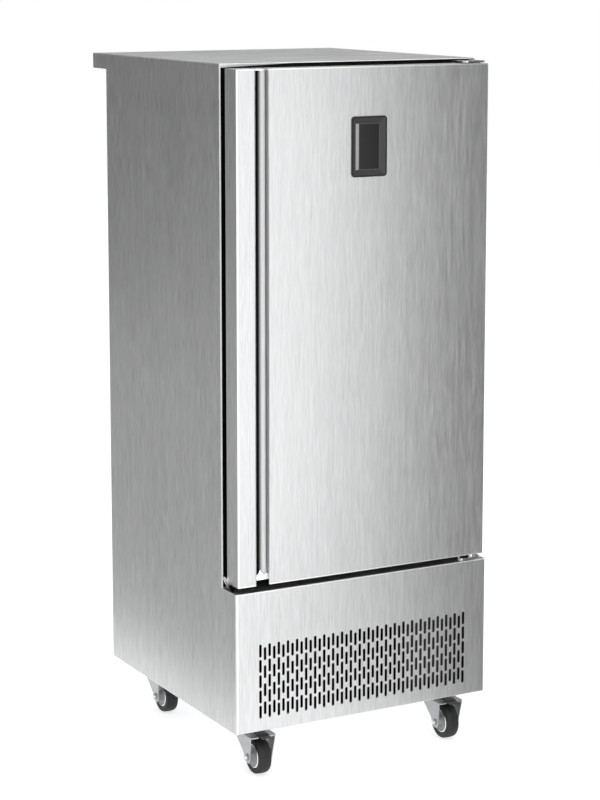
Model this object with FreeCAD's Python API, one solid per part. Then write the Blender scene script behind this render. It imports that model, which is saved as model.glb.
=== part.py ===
import FreeCAD, Part
import math
import os

from FreeCAD import Placement, Rotation, Vector

# Upright blast chiller on four swivel casters. Millimetres, +Z up, origin on the floor at the middle
# of the whole outline. The door faces -Y and hangs on the +X side; the handle groove is at -X.

# ---------------------------------------------------------------- how far tools pass what they cut
overshoot = 1.0
edge_tolerance = 1e-3

# ---------------------------------------------------------------- driving dimensions: cabinet
cabinet_width = 800.0
cabinet_depth = 822.0
cabinet_height = 1816.0
base_height = 394.0
spacer_depth = 94.0
spacer_height = 44.0
sheet = 1.2
fold_radius = 4.0
liner_sheet = 1.0
deck_sheet = 1.5
pan_sheet = 2.0
wall_insulation = 60.0
roof_insulation = 70.0
floor_insulation = 60.0
front_return = 22.0
top_lip = 10.0
frame_thickness = 2.0
pan_flange = 30.0
back_screw_side = 13.5
back_screw_end = 30.0
back_screw_top = 120.0

# ---------------------------------------------------------------- driving dimensions: door
door_inset = 7.4
door_thickness = 65.0
door_face_step = 1.8
door_bottom_gap = 16.5
door_top_gap = 12.0
strip_width = 57.6
groove_mouth = 37.6
groove_depth = 20.0
lip_depth = 9.0
lip_radius = 4.4
undercut = 16.0
undercut_radius = 4.0
scoop_radius = 8.0
cap_height = 14.0
cap_ramp = 10.0
top_cap_height = 4.0
top_cap_ramp = 2.0
cap_bottom_offset = 14.0
cap_front_offset = 4.6
plug_height = 12.0
plug_margin = 18.0
gasket_width = 22.0
gasket_depth = 15.9
gasket_foot = 3.0
gasket_waist = 5.5
gasket_waist_inset = 5.0
gasket_head_inset = 1.0
gasket_margin = 9.0
seal_clearance = 0.3

# ---------------------------------------------------------------- driving dimensions: hinges
hinge_inset = 22.0
hinge_setback = 32.0
pin_radius = 6.0
pin_clearance = 0.05
bush_wall = 3.0
bush_length = 18.0
bush_flange = 2.0
bush_flange_wall = 3.95
bracket_thickness = 4.0
bracket_reach = 50.0
bracket_margin = 4.0
bracket_gap = 2.5
bracket_corner = 14.0
boss_wall = 6.0
thrust_gap = 0.3
bracket_leg = 24.0
bracket_leg_sheet = 3.0
leg_screw_first = 12.0
leg_screw_pitch = 24.0
foot_screw_edge = 8.0
foot_screw_near = 10.0
foot_screw_far = 60.0

# ---------------------------------------------------------------- driving dimensions: display
display_x = 9.2
display_below_top = 215.5
bezel_width = 109.0
bezel_height = 164.0
bezel_corner = 9.0
smallest_corner = 1.0
bezel_proud = 5.0
bezel_edge_radius = 1.6
bezel_tail = 8.0
bezel_rim = 7.0
tail_clearance = 0.5
slope_corner = 4.0
slope_lead = 0.01
screen_width = 64.4
screen_height = 125.0
screen_corner = 2.0
screen_recess = 4.0
glass_thickness = 3.0
glass_clearance = 0.2
board_thickness = 1.6
board_margin = 3.0
board_rows = 3
chip_height = 5.0
chip_x = -10.0
chip_width = 30.0
chip_length = 20.0
can_x = 25.0
can_radius = 6.0
pocket_depth = 30.0
pocket_gap = 1.0

# ---------------------------------------------------------------- driving dimensions: grille slots
slot_pitch = 14.2
slot_side_gap = 70.0
slot_top_gap = 120.0
slot_length = 35.0
slot_width = 6.4
slot_first_long = 37.5
slot_step_long = 43.2
slot_first_short = 48.0
slot_step_short = 51.0

# ---------------------------------------------------------------- driving dimensions: casters
wheel_radius = 50.8
caster_headroom = 37.4
tyre_width = 36.0
tread_depth = 16.0
tread_crown = 1.4
tread_chamfer = 3.0
caster_inset = 95.0
caster_front_inset = 91.0
caster_rear_inset = 136.0
caster_trail = 34.0
crown_drop = 25.0
crown_thickness = 3.0
crown_half_width = 40.0
crown_corner = 10.0
crown_front = 68.0
crown_rear = 25.0
leg_thickness = 2.5
leg_lean = 4.5
leg_sink = 0.4
leg_foot = 17.0
leg_foot_radius = 15.0
leg_front_inset = 4.0
leg_rear_step = 1.0
leg_rear_rise = 8.0
leg_rear_radius = 12.0
leg_rear_drop = 14.0
leg_rear_corner = 6.0
leg_boss_wall = 2.0
leg_boss_sink = 1.5
plate_thickness = 3.0
plate_length = 105.0
plate_width = 88.0
plate_corner = 8.0
plate_bolt_inset = 12.0
plate_bolt_radius = 6.5
plate_bolt_height = 5.0
cup_radius = 27.0
cup_corner = 5.0
kingpin_radius = 6.0
kingpin_head = 10.0
kingpin_head_height = 3.0
caster_clearance = 0.3
axle_radius = 4.0
axle_clearance = 0.08
axle_head_radius = 7.5
axle_head_height = 5.0
hub_boss_wall = 7.0
hub_side_gap = 1.0
hub_web_inset = 6.0
hub_web_step = 4.0
hub_rim = 3.0
hub_rim_root = 5.0
pedal_length = 52.0
pedal_width = 30.0
pedal_thickness = 3.0
pedal_pivot_reach = 37.0
pedal_pin_radius = 2.0
pedal_side_gap = 1.0
pedal_heel = 4.0
pedal_step = 4.0
pedal_step_start = 26.0
pedal_step_end = 18.0
pedal_under_start = 28.0
pedal_under_end = 20.0
pedal_under_rear = 8.0
pedal_under_drop = 1.0
pedal_small_radius = 1.0
pedal_bend_radius = 3.0
pedal_tip_radius = 1.2
shoe_width = 16.0
shoe_depth = 8.0
shoe_gap = 3.0
shoe_sink = 2.0
ear_thickness = 2.0
ear_half_length = 5.0
ear_rise = 4.0

# ---------------------------------------------------------------- driving dimensions: cold side
panel_from_back = 202.0
panel_return = 90.0
panel_floor_gap = 55.0
panel_roof_gap = 52.0
panel_screw_side = 20.0
panel_screw_end = 25.0
fan_radius = 150.0
fan_ring_gap = 6.0
fan_ring_depth = 34.0
fan_gap = 5.0
fan_blades = 5
fan_blade_depth = 22.0
fan_hub_radius = 38.0
fan_hub_face = 4.0
fan_shaft_radius = 4.0
shaft_tip_gap = 2.0
blade_chord = 0.42
blade_thickness = 2.4
blade_root = 6.0
blade_tip_gap = 3.0
blade_corner = 18.0
blade_twist = 72.0
blade_side_gap = 1.0
guard_wire = 2.0
guard_lap = 3.0
guard_overlap = 16.0
guard_rings = (50.0, 90.0, 130.0)
guard_seam = 37.0
motor_radius = 42.0
motor_length = 30.0
motor_corner = 5.0
motor_gap = 6.0
motor_bar_width = 50.0
motor_bar_thickness = 3.0
coil_depth = 100.0
coil_side_gap = 38.0
coil_end_gap = 10.0
fin_pitch = 8.0
fin_thickness = 0.8
fin_margin = 6.0
coil_spine = 6.0
end_plate = 2.0
bend_margin = 20.0
tube_radius = 4.8
tube_rows = 12
rack_pitch = 74.0
rack_first = 70.0
rack_last_gap = 150.0
rack_post = 18.0
rack_post_inset = 40.0
rack_post_gap = 10.0
rack_rail_depth = 28.0
rack_rail_height = 12.0
rack_rail_sheet = 1.5
rack_front_gap = 30.0
rack_back_gap = 27.8
socket_radius = 14.0
socket_flange = 5.0
socket_tail_radius = 10.0
socket_length = 16.0
socket_end_gap = 2.0
socket_bore = 4.0
socket_bore_depth = 8.0
socket_from_front = 24.0
socket_above_floor = 554.5

# ---------------------------------------------------------------- driving dimensions: machine room
condenser_side_gap = 60.0
condenser_box_gap = 45.0
condenser_top_gap = 50.0
condenser_depth = 58.0
condenser_front_gap = 26.0
condenser_lift = 12.0
condenser_fin_margin = 4.0
condenser_bend_margin = 10.0
condenser_fan_margin = 25.0
condenser_fan_gap = 8.0
shroud_depth = 104.0
shroud_ring_depth = 38.0
compressor_radius = 88.0
compressor_height = 225.0
compressor_dome = 45.0
compressor_side_gap = 260.0
compressor_back_gap = 305.6
grommet_height = 18.0
grommet_radius = 13.0
grommet_neck_radius = 6.5
grommet_cap_radius = 10.4
grommet_cap_height = 5.0
grommet_inset = 20.0
foot_plate_length = 230.0
foot_plate_width = 150.0
foot_plate_thickness = 3.0
foot_plate_corner = 20.0
terminal_reach = 46.0
terminal_sink = 6.0
terminal_width = 60.0
terminal_low = 90.0
terminal_height = 60.0
stub_drop = 10.0
stub_sink = 4.0
stub_length = 20.0
stub_wall = 1.0
drier_radius = 26.0
drier_length = 130.0
drier_gap = 90.0
drier_lift = 4.0
drier_corner = 10.0
drier_neck = 16.0
drier_neck_wall = 1.5
saddle_width = 36.0
saddle_depth = 12.0
saddle_inset = 25.0
pipe_radius = 6.0
pipe_bend = 30.0
pipe_hole_gap = 1.0
pipe_roof_gap = 40.0
pipe_side_gap = 30.0
discharge_offset = 40.0
discharge_drop = 30.0
liquid_gap = 60.0
liquid_rise = 90.0
feed_rise = 75.0
suction_run = 70.0
suction_rise = 60.0
riser_inset = 69.8
riser_spacing = 30.0
riser_end_gap = 12.0
electrical_side_gap = 40.0
electrical_front_gap = 40.0
electrical_top_gap = 102.0
electrical_width = 200.0
electrical_depth = 210.0
rail_margin = 20.0
rail_depth = 60.0
rail_low = 90.0
rail_height = 90.0
gland_radius = 14.0
gland_nut_radius = 16.8
gland_nut_depth = 10.0
gland_neck_radius = 10.0
gland_neck_length = 10.0
gland_bore = 6.0
gland_wall = 3.0
gland_length = 34.0
gland_side_gap = 110.0
gland_height = 60.0
vent_pitch = 22.0
vent_height = 8.0
vent_corner = 3.9
vent_width = 170.0
vent_gap = 40.0
vent_first = 70.0
vent_top_gap = 72.0
screw_head_radius = 4.5
screw_head_height = 2.4
screw_head_corner = 1.4
screw_shank_radius = 2.0
screw_clearance = 0.1

# ---------------------------------------------------------------- places worked out from them
caster_height = 2 * wheel_radius + caster_headroom
body_setback = door_face_step + door_thickness + gasket_depth + seal_clearance + frame_thickness
half_width = cabinet_width / 2
bezel_ahead = bezel_proud - door_face_step
front_y = bezel_ahead - (cabinet_depth + spacer_depth + bezel_ahead) / 2
back_y = front_y + cabinet_depth
rear_y = back_y + spacer_depth
body_y = front_y + body_setback
cabinet_bottom = caster_height
cabinet_top = cabinet_bottom + cabinet_height
base_top = cabinet_bottom + base_height
deck_top = base_top + deck_sheet
pan_top = cabinet_bottom + pan_sheet

chamber_half = half_width - sheet - wall_insulation - liner_sheet
chamber_back = back_y - sheet - wall_insulation - liner_sheet
chamber_floor = deck_top + floor_insulation + liner_sheet
chamber_ceiling = cabinet_top - sheet - roof_insulation - liner_sheet
frame_y = body_y - frame_thickness
socket_y = body_y + socket_from_front
socket_z = chamber_floor + socket_above_floor

door_half = half_width - door_inset
door_front = front_y + door_face_step
door_rear = door_front + door_thickness
door_bottom = base_top + door_bottom_gap
door_top = cabinet_top - door_top_gap
display_z = door_top - display_below_top
strip_x = -door_half + strip_width
groove_x = strip_x + groove_mouth
groove_back = door_front + groove_depth
lip_back = door_front + lip_depth

hinge_x = door_half - hinge_inset
hinge_y = door_front + hinge_setback
bush_radius = pin_radius + pin_clearance + bush_wall
bush_flange_radius = bush_radius + bush_flange_wall
boss_radius = pin_radius + boss_wall

crown_top = caster_height - crown_drop
crown_bottom = crown_top - crown_thickness
kingpin_x = half_width - caster_inset
kingpin_front = front_y + caster_front_inset
kingpin_rear = back_y - caster_rear_inset
leg_drop = crown_top - wheel_radius
lean = math.radians(leg_lean)
leg_inner = crown_half_width - leg_drop * math.sin(lean) - leg_thickness
hub_boss_radius = axle_radius + hub_boss_wall
hub_half = leg_inner - hub_boss_radius * math.tan(lean) - hub_side_gap
axle_reach = leg_inner + 2 * leg_thickness
tyre_seat_radius = wheel_radius - tread_depth
tyre_shoulder_radius = wheel_radius - tread_crown
pedal_pivot_z = crown_top + pedal_thickness

slot_half_columns = int((half_width - slot_side_gap) / slot_pitch)
slot_columns = 2 * slot_half_columns + 1
slot_room = base_height - slot_length - slot_top_gap
vent_rows = int((base_height - vent_first - vent_top_gap) / vent_pitch) + 1

panel_y = chamber_back - panel_from_back
panel_bottom = chamber_floor + panel_floor_gap
panel_top = chamber_ceiling - panel_roof_gap
panel_half = chamber_half - seal_clearance
fan_spacing = (panel_top - panel_bottom) / 2
fan_heights = (panel_bottom + fan_spacing / 2, panel_top - fan_spacing / 2)
fan_y = panel_y + sheet + fan_gap
motor_y = panel_y + fan_ring_depth + motor_gap
rack_front = body_y + rack_front_gap
rack_back = panel_y - rack_back_gap
rack_levels = int((chamber_ceiling - chamber_floor - rack_first - rack_last_gap) / rack_pitch) + 1

coil_front = chamber_back - coil_depth
coil_half = chamber_half - coil_side_gap
coil_bottom = panel_bottom + coil_end_gap
coil_top = panel_top - coil_end_gap

electrical_x = half_width - electrical_side_gap - electrical_width
electrical_top = base_top - electrical_top_gap
condenser_left = -half_width + condenser_side_gap
condenser_right = electrical_x - condenser_box_gap
condenser_front = front_y + condenser_front_gap
condenser_back = condenser_front + condenser_depth
condenser_bottom = pan_top + condenser_lift
condenser_top = base_top - condenser_top_gap
condenser_fan_x = (condenser_left + condenser_right) / 2
condenser_fan_y = condenser_back + sheet + condenser_fan_gap
condenser_fan_z = (condenser_bottom + condenser_top) / 2
condenser_half = min(condenser_right - condenser_left, condenser_top - condenser_bottom) / 2
condenser_fan_radius = condenser_half - condenser_fan_margin
shroud_back = condenser_back + shroud_depth
condenser_motor_y = condenser_back + sheet + shroud_ring_depth + motor_gap
compressor_x = -half_width + compressor_side_gap
compressor_y = back_y - compressor_back_gap
foot_bottom = pan_top + grommet_height
shell_bottom = foot_bottom + foot_plate_thickness
shell_top = shell_bottom + compressor_height
stub_y = compressor_y + compressor_radius + stub_length
stub_z = shell_top - compressor_dome - stub_drop
drier_x = compressor_x - compressor_radius - drier_gap
drier_z = pan_top + drier_radius + drier_lift
drier_start = compressor_y - drier_length / 2
drier_end = compressor_y + drier_length / 2
riser_x = -chamber_half + riser_inset
riser_y = chamber_back - coil_depth / 2
gland_x = half_width - gland_side_gap
gland_z = cabinet_bottom + gland_height


# ---------------------------------------------------------------- geometry helpers
def box(x0, x1, y0, y1, z0, z1):
    """Upright block between two corners."""
    return Part.makeBox(x1 - x0, y1 - y0, z1 - z0, Vector(x0, y0, z0))


def rod(start, end, radius):
    """Round bar from one point to another."""
    line = Vector(*end) - Vector(*start)
    return Part.makeCylinder(radius, line.Length, Vector(*start), line)


def fuse(shapes):
    """One solid from touching shapes."""
    return shapes[0].multiFuse(shapes[1:]).removeSplitter()


def cut(shape, tools):
    """The shape with every tool taken out of it."""
    return shape.cut(Part.makeCompound(tools))


def mirrored(shape):
    """The same shape on the other side of the middle plane."""
    return shape.mirror(Vector(0, 0, 0), Vector(1, 0, 0))


def moved(shape, x, y, z):
    """A copy of the shape shifted by x, y and z."""
    copy = shape.copy()
    copy.translate(Vector(x, y, z))
    return copy


def outline(points, radii):
    """Flat closed face through the points, each corner rounded by an arc of its radius."""
    corners = [Vector(x, y, 0) for x, y in points]
    turns = []
    for index, corner in enumerate(corners):
        before = (corners[index - 1] - corner).normalize()
        after = (corners[(index + 1) % len(corners)] - corner).normalize()
        radius = radii[index]
        half = before.getAngle(after) / 2
        reach = radius / math.tan(half)
        middle = corner + (before + after).normalize() * (radius / math.sin(half) - radius)
        turns.append((corner + before * reach, middle, corner + after * reach, radius))
    edges = []
    for index, (start, middle, end, radius) in enumerate(turns):
        if radius > 0:
            edges.append(Part.Arc(start, middle, end).toShape())
        following = turns[(index + 1) % len(turns)][0]
        if end.distanceToPoint(following) > edge_tolerance:
            edges.append(Part.makeLine(end, following))
    return Part.Face(Part.Wire(edges))


def prism_z(points, radii, z0, z1):
    """Outline in X and Y, drawn up from z0 to z1."""
    face = outline(points, radii)
    face.translate(Vector(0, 0, z0))
    return face.extrude(Vector(0, 0, z1 - z0))


def prism_x(points, radii, x0, x1):
    """Outline in Y and Z, drawn sideways from x0 to x1."""
    face = outline(points, radii)
    face.Placement = Placement(Vector(x0, 0, 0), Rotation(Vector(1, 1, 1), 120))
    return face.extrude(Vector(x1 - x0, 0, 0))


def prism_y(points, radii, y0, y1):
    """Outline in X and Z, drawn back from y0 to y1."""
    face = outline(points, radii)
    face.Placement = Placement(Vector(0, y0, 0), Rotation(Vector(1, 0, 0), 90))
    return face.extrude(Vector(0, y1 - y0, 0))


def rectangle(x0, x1, y0, y1):
    """Corner points of a rectangle."""
    return [(x0, y0), (x1, y0), (x1, y1), (x0, y1)]


def shifted_line(path, distance):
    """The path moved sideways to its left, corner by corner."""
    points = [Vector(x, y, 0) for x, y in path]
    normals = []
    for start, end in zip(points, points[1:]):
        along = (end - start).normalize()
        normals.append(Vector(-along.y, along.x, 0))
    line = []
    for index, point in enumerate(points):
        first = normals[max(index - 1, 0)]
        second = normals[min(index, len(normals) - 1)]
        step = (first + second) * (distance / (1 + first.dot(second)))
        line.append((point.x + step.x, point.y + step.y))
    return line


def shifted_radii(path, radii, distance):
    """Corner radii of the moved path: smaller where it turns left, larger where it turns right."""
    changed = [0.0]
    for before, corner, after, radius in zip(path, path[1:], path[2:], radii[1:]):
        first = Vector(corner[0] - before[0], corner[1] - before[1], 0)
        second = Vector(after[0] - corner[0], after[1] - corner[1], 0)
        turn = math.copysign(distance, first.cross(second).z)
        changed.append(radius - turn)
    return changed + [0.0]


def sheet_band(path, radii, thickness):
    """Edge view of folded sheet: its outer line is the path, and the metal lies to the left of it."""
    inner = shifted_line(path, thickness)
    inner_radii = shifted_radii(path, radii, thickness)
    return path + inner[::-1], radii + inner_radii[::-1]


def tube_path(points, radius, bend):
    """Round tube along straight runs that are joined by arcs."""
    corners = [Vector(*point) for point in points]
    edges = []
    last = corners[0]
    for before, corner, after in zip(corners, corners[1:], corners[2:]):
        back = (before - corner).normalize()
        ahead = (after - corner).normalize()
        half = back.getAngle(ahead) / 2
        reach = bend / math.tan(half)
        middle = corner + (back + ahead).normalize() * (bend / math.sin(half) - bend)
        edges.append(Part.makeLine(last, corner + back * reach))
        edges.append(Part.Arc(corner + back * reach, middle, corner + ahead * reach).toShape())
        last = corner + ahead * reach
    edges.append(Part.makeLine(last, corners[-1]))
    section = Part.Wire(Part.makeCircle(radius, corners[0], corners[1] - corners[0]))
    return Part.Wire(edges).makePipeShell([section], True, False)


def revolved_x(points, radii, x, y, z):
    """Wheel-like solid: an outline of X and radius, spun about a line along X through (y, z)."""
    face = outline(points, radii)
    solid = face.revolve(Vector(0, 0, 0), Vector(1, 0, 0), 360)
    return moved(solid, x, y, z)


# ---------------------------------------------------------------- cabinet shell
def side_panel():
    """Left side in one sheet: deep base, set-back body, rear tab and a folded front edge."""
    upper_z = cabinet_top - sheet
    tab_z = cabinet_top - spacer_height + sheet
    front = front_y + fold_radius
    body_front = body_y + fold_radius
    profile = [
        (front, cabinet_bottom), (back_y, cabinet_bottom), (back_y, tab_z), (rear_y - sheet, tab_z),
        (rear_y - sheet, upper_z), (body_front, upper_z), (body_front, base_top), (front, base_top),
    ]
    plate = prism_x(profile, [0.0] * len(profile), -half_width, -half_width + sheet)
    path = [(-half_width, body_front), (-half_width, body_y), (-half_width + front_return, body_y)]
    points, radii = sheet_band(path, [0.0, fold_radius, 0.0], sheet)
    return fuse([plate, prism_z(points, radii, base_top, cabinet_top - fold_radius)])


def screw_places_back():
    """Screw centres (x, z) of the back panel."""
    column = half_width - back_screw_side
    heights = [cabinet_bottom + back_screw_end, base_top - back_screw_end, (base_top + cabinet_top) / 2,
               cabinet_top - back_screw_top]
    return [(side * column, height) for side in (-1, 1) for height in heights]


def screw_places_evaporator():
    """Screw centres (x, z) of the evaporator panel."""
    column = panel_half - panel_screw_side
    heights = [panel_bottom + panel_screw_end, (panel_bottom + panel_top) / 2, panel_top - panel_screw_end]
    return [(side * column, height) for side in (-1, 1) for height in heights]


def back_panel():
    """Flat back sheet with air slots over the machine room, a gland hole and screw holes."""
    inner = half_width - sheet
    plate = box(-inner, inner, back_y - sheet, back_y, cabinet_bottom, cabinet_top - sheet)
    near = back_y - sheet - overshoot
    far = back_y + overshoot
    tools = []
    for row in range(vent_rows):
        z = cabinet_bottom + vent_first + row * vent_pitch
        for side in (-1, 1):
            middle = side * (vent_width + vent_gap) / 2
            points = rectangle(middle - vent_width / 2, middle + vent_width / 2, z, z + vent_height)
            tools.append(prism_y(points, [vent_corner] * 4, near, far))
    tools.append(rod((gland_x, near, gland_z), (gland_x, far, gland_z), gland_neck_radius))
    shank = screw_shank_radius + screw_clearance
    for x, z in screw_places_back():
        tools.append(rod((x, near, z), (x, far, z), shank))
    return cut(plate, tools)


def top_panel():
    """Roof sheet: short front lip, flat roof, and the hollow wall spacer folded at the rear."""
    path = [
        (back_y, cabinet_top - spacer_height), (rear_y, cabinet_top - spacer_height),
        (rear_y, cabinet_top), (body_y, cabinet_top), (body_y, cabinet_top - top_lip),
    ]
    points, radii = sheet_band(path, [0.0, fold_radius, fold_radius, fold_radius, 0.0], sheet)
    roof = prism_x(points, radii, -half_width, half_width)
    corner_gap = front_return + seal_clearance
    notches = []
    for side in (-1, 1):
        inner = side * (half_width - corner_gap)
        outer = side * (half_width + overshoot)
        notches.append(box(min(inner, outer), max(inner, outer), body_y - overshoot, body_y + fold_radius,
                           cabinet_top - top_lip - overshoot, cabinet_top - fold_radius))
    return cut(roof, notches)


def slot_tool(x, z):
    """Upright slot with round ends, cut through the front."""
    half = slot_width / 2
    low = z + half
    high = z + slot_length - half
    depth = 2 * fold_radius
    body = box(x - half, x + half, front_y - depth, front_y + depth, low, high)
    ends = [rod((x, front_y - depth, end), (x, front_y + depth, end), half) for end in (low, high)]
    return [body] + ends


def base_front_panel():
    """Shallow folded tray that closes the machine room: slotted face, ledge and short returns."""
    inner = half_width - sheet
    outer_box = box(-inner, inner, front_y, body_y + front_return, cabinet_bottom, base_top)
    front_edges = [edge for edge in outer_box.Edges if edge.BoundBox.YMax < front_y + edge_tolerance]
    shell = outer_box.makeFillet(fold_radius, front_edges)
    rear = body_y + front_return + overshoot
    hollow_front = front_y + sheet
    hollow_top = base_top - sheet
    hollow_box = box(-inner + sheet, inner - sheet, hollow_front, rear, cabinet_bottom + sheet, hollow_top)
    hollow_edges = [edge for edge in hollow_box.Edges if edge.BoundBox.YMax < hollow_front + edge_tolerance]
    hollow = hollow_box.makeFillet(fold_radius - sheet, hollow_edges)
    trim = box(-half_width, half_width, front_y + front_return, rear, cabinet_bottom - overshoot, hollow_top)
    tools = [hollow, trim]
    for column in range(slot_columns):
        x = (column - slot_half_columns) * slot_pitch
        long_column = column % 2 == 0
        first = slot_first_long if long_column else slot_first_short
        step = slot_step_long if long_column else slot_step_short
        for row in range(int((slot_room - first) / step) + 1):
            tools.extend(slot_tool(x, cabinet_bottom + first + row * step))
    return cut(shell, tools)


def base_pan():
    """Bottom tray that carries the machines above and the casters below."""
    inner = half_width - sheet
    pan_front = front_y + front_return
    pan_back = back_y - sheet
    body = box(-inner, inner, pan_front, pan_back, cabinet_bottom, pan_top + pan_flange)
    hollow = box(-inner + pan_sheet, inner - pan_sheet, pan_front + pan_sheet, pan_back - pan_sheet,
                 pan_top, pan_top + pan_flange + overshoot)
    shank = screw_shank_radius + screw_clearance
    low_screws = [place for place in screw_places_back() if place[1] < pan_top + pan_flange]
    holes = [rod((x, pan_back - pan_sheet - overshoot, z), (x, pan_back + overshoot, z), shank)
             for x, z in low_screws]
    return cut(body, [hollow] + holes)


def riser_places():
    """Centres (x, y) of the two tubes that climb from the machine room to the evaporator."""
    return [(riser_x, riser_y), (riser_x - riser_spacing, riser_y)]


def riser_tools(z0, z1):
    """Clearance holes for the climbing tubes."""
    radius = pipe_radius + pipe_hole_gap
    return [rod((x, y, z0 - overshoot), (x, y, z1 + overshoot), radius) for x, y in riser_places()]


def machine_deck():
    """Sheet between the machine room and the insulated body."""
    inner = half_width - sheet
    corner = fold_radius - sheet
    points = rectangle(-inner, inner, body_y + sheet, back_y - sheet)
    deck = prism_z(points, [corner, corner, 0.0, 0.0], base_top, deck_top)
    return cut(deck, riser_tools(base_top, deck_top))


def socket_tool():
    """Room for the tail of the probe socket in the right liner wall and the foam behind it."""
    start = (chamber_half - overshoot, socket_y, socket_z)
    end = (chamber_half + liner_sheet + socket_length, socket_y, socket_z)
    return rod(start, end, socket_tail_radius)


def chamber_liner():
    """Five inner walls of the food chamber, butted at their corners."""
    low = chamber_floor - liner_sheet
    high = chamber_ceiling + liner_sheet
    left = box(-chamber_half - liner_sheet, -chamber_half, body_y, chamber_back + liner_sheet, low, high)
    back = box(-chamber_half, chamber_half, chamber_back, chamber_back + liner_sheet, low, high)
    floor = box(-chamber_half, chamber_half, body_y, chamber_back, low, chamber_floor)
    roof = box(-chamber_half, chamber_half, body_y, chamber_back, chamber_ceiling, high)
    right = cut(mirrored(left), [socket_tool()])
    return [left, right, back, cut(floor, riser_tools(low, chamber_floor)), roof]


def soft_front(slab):
    """Foam slab rounded where it lies in the folds of the side and roof sheets."""
    limits = slab.BoundBox
    edges = []
    for edge in slab.Edges:
        bounds = edge.BoundBox
        at_front = bounds.YMax < limits.YMin + edge_tolerance
        in_side_fold = bounds.XMax < sheet - half_width + edge_tolerance
        in_roof_fold = bounds.ZMin > limits.ZMax - edge_tolerance
        if at_front and (in_side_fold or in_roof_fold):
            edges.append(edge)
    return slab.makeFillet(fold_radius, edges)


def cabinet_insulation():
    """Foam slabs between the outer sheets and the chamber walls."""
    outer = half_width - sheet
    inner = chamber_half + liner_sheet
    front = body_y + sheet
    back = back_y - sheet
    top = cabinet_top - sheet
    floor_top = chamber_floor - liner_sheet
    left = soft_front(box(-outer, -inner, front, back, deck_top, top))
    right = cut(mirrored(left), [socket_tool()])
    rear = box(-inner, inner, chamber_back + liner_sheet, back, deck_top, top)
    floor = box(-inner, inner, front, chamber_back + liner_sheet, deck_top, floor_top)
    roof = box(-inner, inner, front, chamber_back + liner_sheet, chamber_ceiling + liner_sheet, top)
    roof = soft_front(roof)
    return [left, right, rear, cut(floor, riser_tools(deck_top, floor_top)), roof]


def breaker_frame():
    """Four plastic strips round the mouth of the chamber, where the door gasket lands."""
    outer = half_width - fold_radius
    low = base_top + deck_sheet
    high = cabinet_top - top_lip - seal_clearance
    left = box(-outer, -chamber_half, frame_y, body_y, low, high)
    bottom = box(-chamber_half, chamber_half, frame_y, body_y, low, chamber_floor)
    top = box(-chamber_half, chamber_half, frame_y, body_y, chamber_ceiling, high)
    return [left, mirrored(left), bottom, top]


# ---------------------------------------------------------------- hinges
def bracket_screws_top():
    """Screw centres (x, z) in the upright leg of the top hinge bracket."""
    z = door_top - bracket_leg / 2
    first = hinge_x - bracket_reach + leg_screw_first
    return [(first, z), (first + leg_screw_pitch, z), (first + 2 * leg_screw_pitch, z)]


def bracket_screws_bottom():
    """Screw centres (x, y) in the bottom hinge bracket."""
    rear = frame_y - foot_screw_edge
    left = hinge_x - bracket_reach
    return [(left + foot_screw_near, rear), (left + foot_screw_near, hinge_y), (left + foot_screw_far, rear)]


def hinge_brackets():
    """Two steel brackets on the cabinet, each with its welded hinge pin."""
    left = hinge_x - bracket_reach
    right = half_width - bracket_margin
    plate_bottom = door_top + bracket_gap
    plate_top = plate_bottom + bracket_thickness
    arm_front = hinge_y - hinge_inset + bracket_margin
    arm_points = rectangle(left, right, arm_front, frame_y)
    arm_radii = [bracket_corner, bracket_corner, 0.0, 0.0]
    shank = screw_shank_radius + screw_clearance
    top_arm = prism_z(arm_points, arm_radii, plate_bottom, plate_top)
    leg_front = frame_y - bracket_leg_sheet
    leg = box(left, right, leg_front, frame_y, door_top - bracket_leg, plate_bottom)
    top_pin = rod((hinge_x, hinge_y, door_top - bush_length), (hinge_x, hinge_y, plate_bottom), pin_radius)
    leg_holes = [rod((x, leg_front - overshoot, z), (x, frame_y + overshoot, z), shank)
                 for x, z in bracket_screws_top()]
    top = cut(fuse([top_arm, leg, top_pin]), leg_holes)
    foot_top = base_top + bracket_thickness
    boss_top = door_bottom - bush_flange - thrust_gap
    foot = prism_z(arm_points, arm_radii, base_top, foot_top)
    boss = rod((hinge_x, hinge_y, foot_top), (hinge_x, hinge_y, boss_top), boss_radius)
    bottom_pin = rod((hinge_x, hinge_y, boss_top), (hinge_x, hinge_y, door_bottom + bush_length), pin_radius)
    foot_holes = [rod((x, y, base_top - overshoot), (x, y, foot_top + overshoot), shank)
                  for x, y in bracket_screws_bottom()]
    bottom = cut(fuse([foot, boss, bottom_pin]), foot_holes)
    return [top, bottom]


def bush(end_z, inward):
    """Flanged plastic bush pressed into one end of the door; inward is +1 up or -1 down."""
    centre = (hinge_x, hinge_y)
    seat = end_z - inward * bush_flange
    tail = end_z + inward * bush_length
    body = rod(centre + (end_z,), centre + (tail,), bush_radius)
    flange = rod(centre + (seat,), centre + (end_z,), bush_flange_radius)
    bore = rod(centre + (seat - inward * overshoot,), centre + (tail + inward * overshoot,),
               pin_radius + pin_clearance)
    return cut(fuse([body, flange]), [bore])


def door_hinge_bushes():
    """Top and bottom bush of the door."""
    return [bush(door_top, -1), bush(door_bottom, 1)]


def bush_tools():
    """Seats for the bushes in the end plates and foam of the door."""
    low = rod((hinge_x, hinge_y, door_bottom - overshoot), (hinge_x, hinge_y, door_bottom + bush_length),
              bush_radius)
    high = rod((hinge_x, hinge_y, door_top - bush_length), (hinge_x, hinge_y, door_top + overshoot),
               bush_radius)
    return [low, high]


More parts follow.
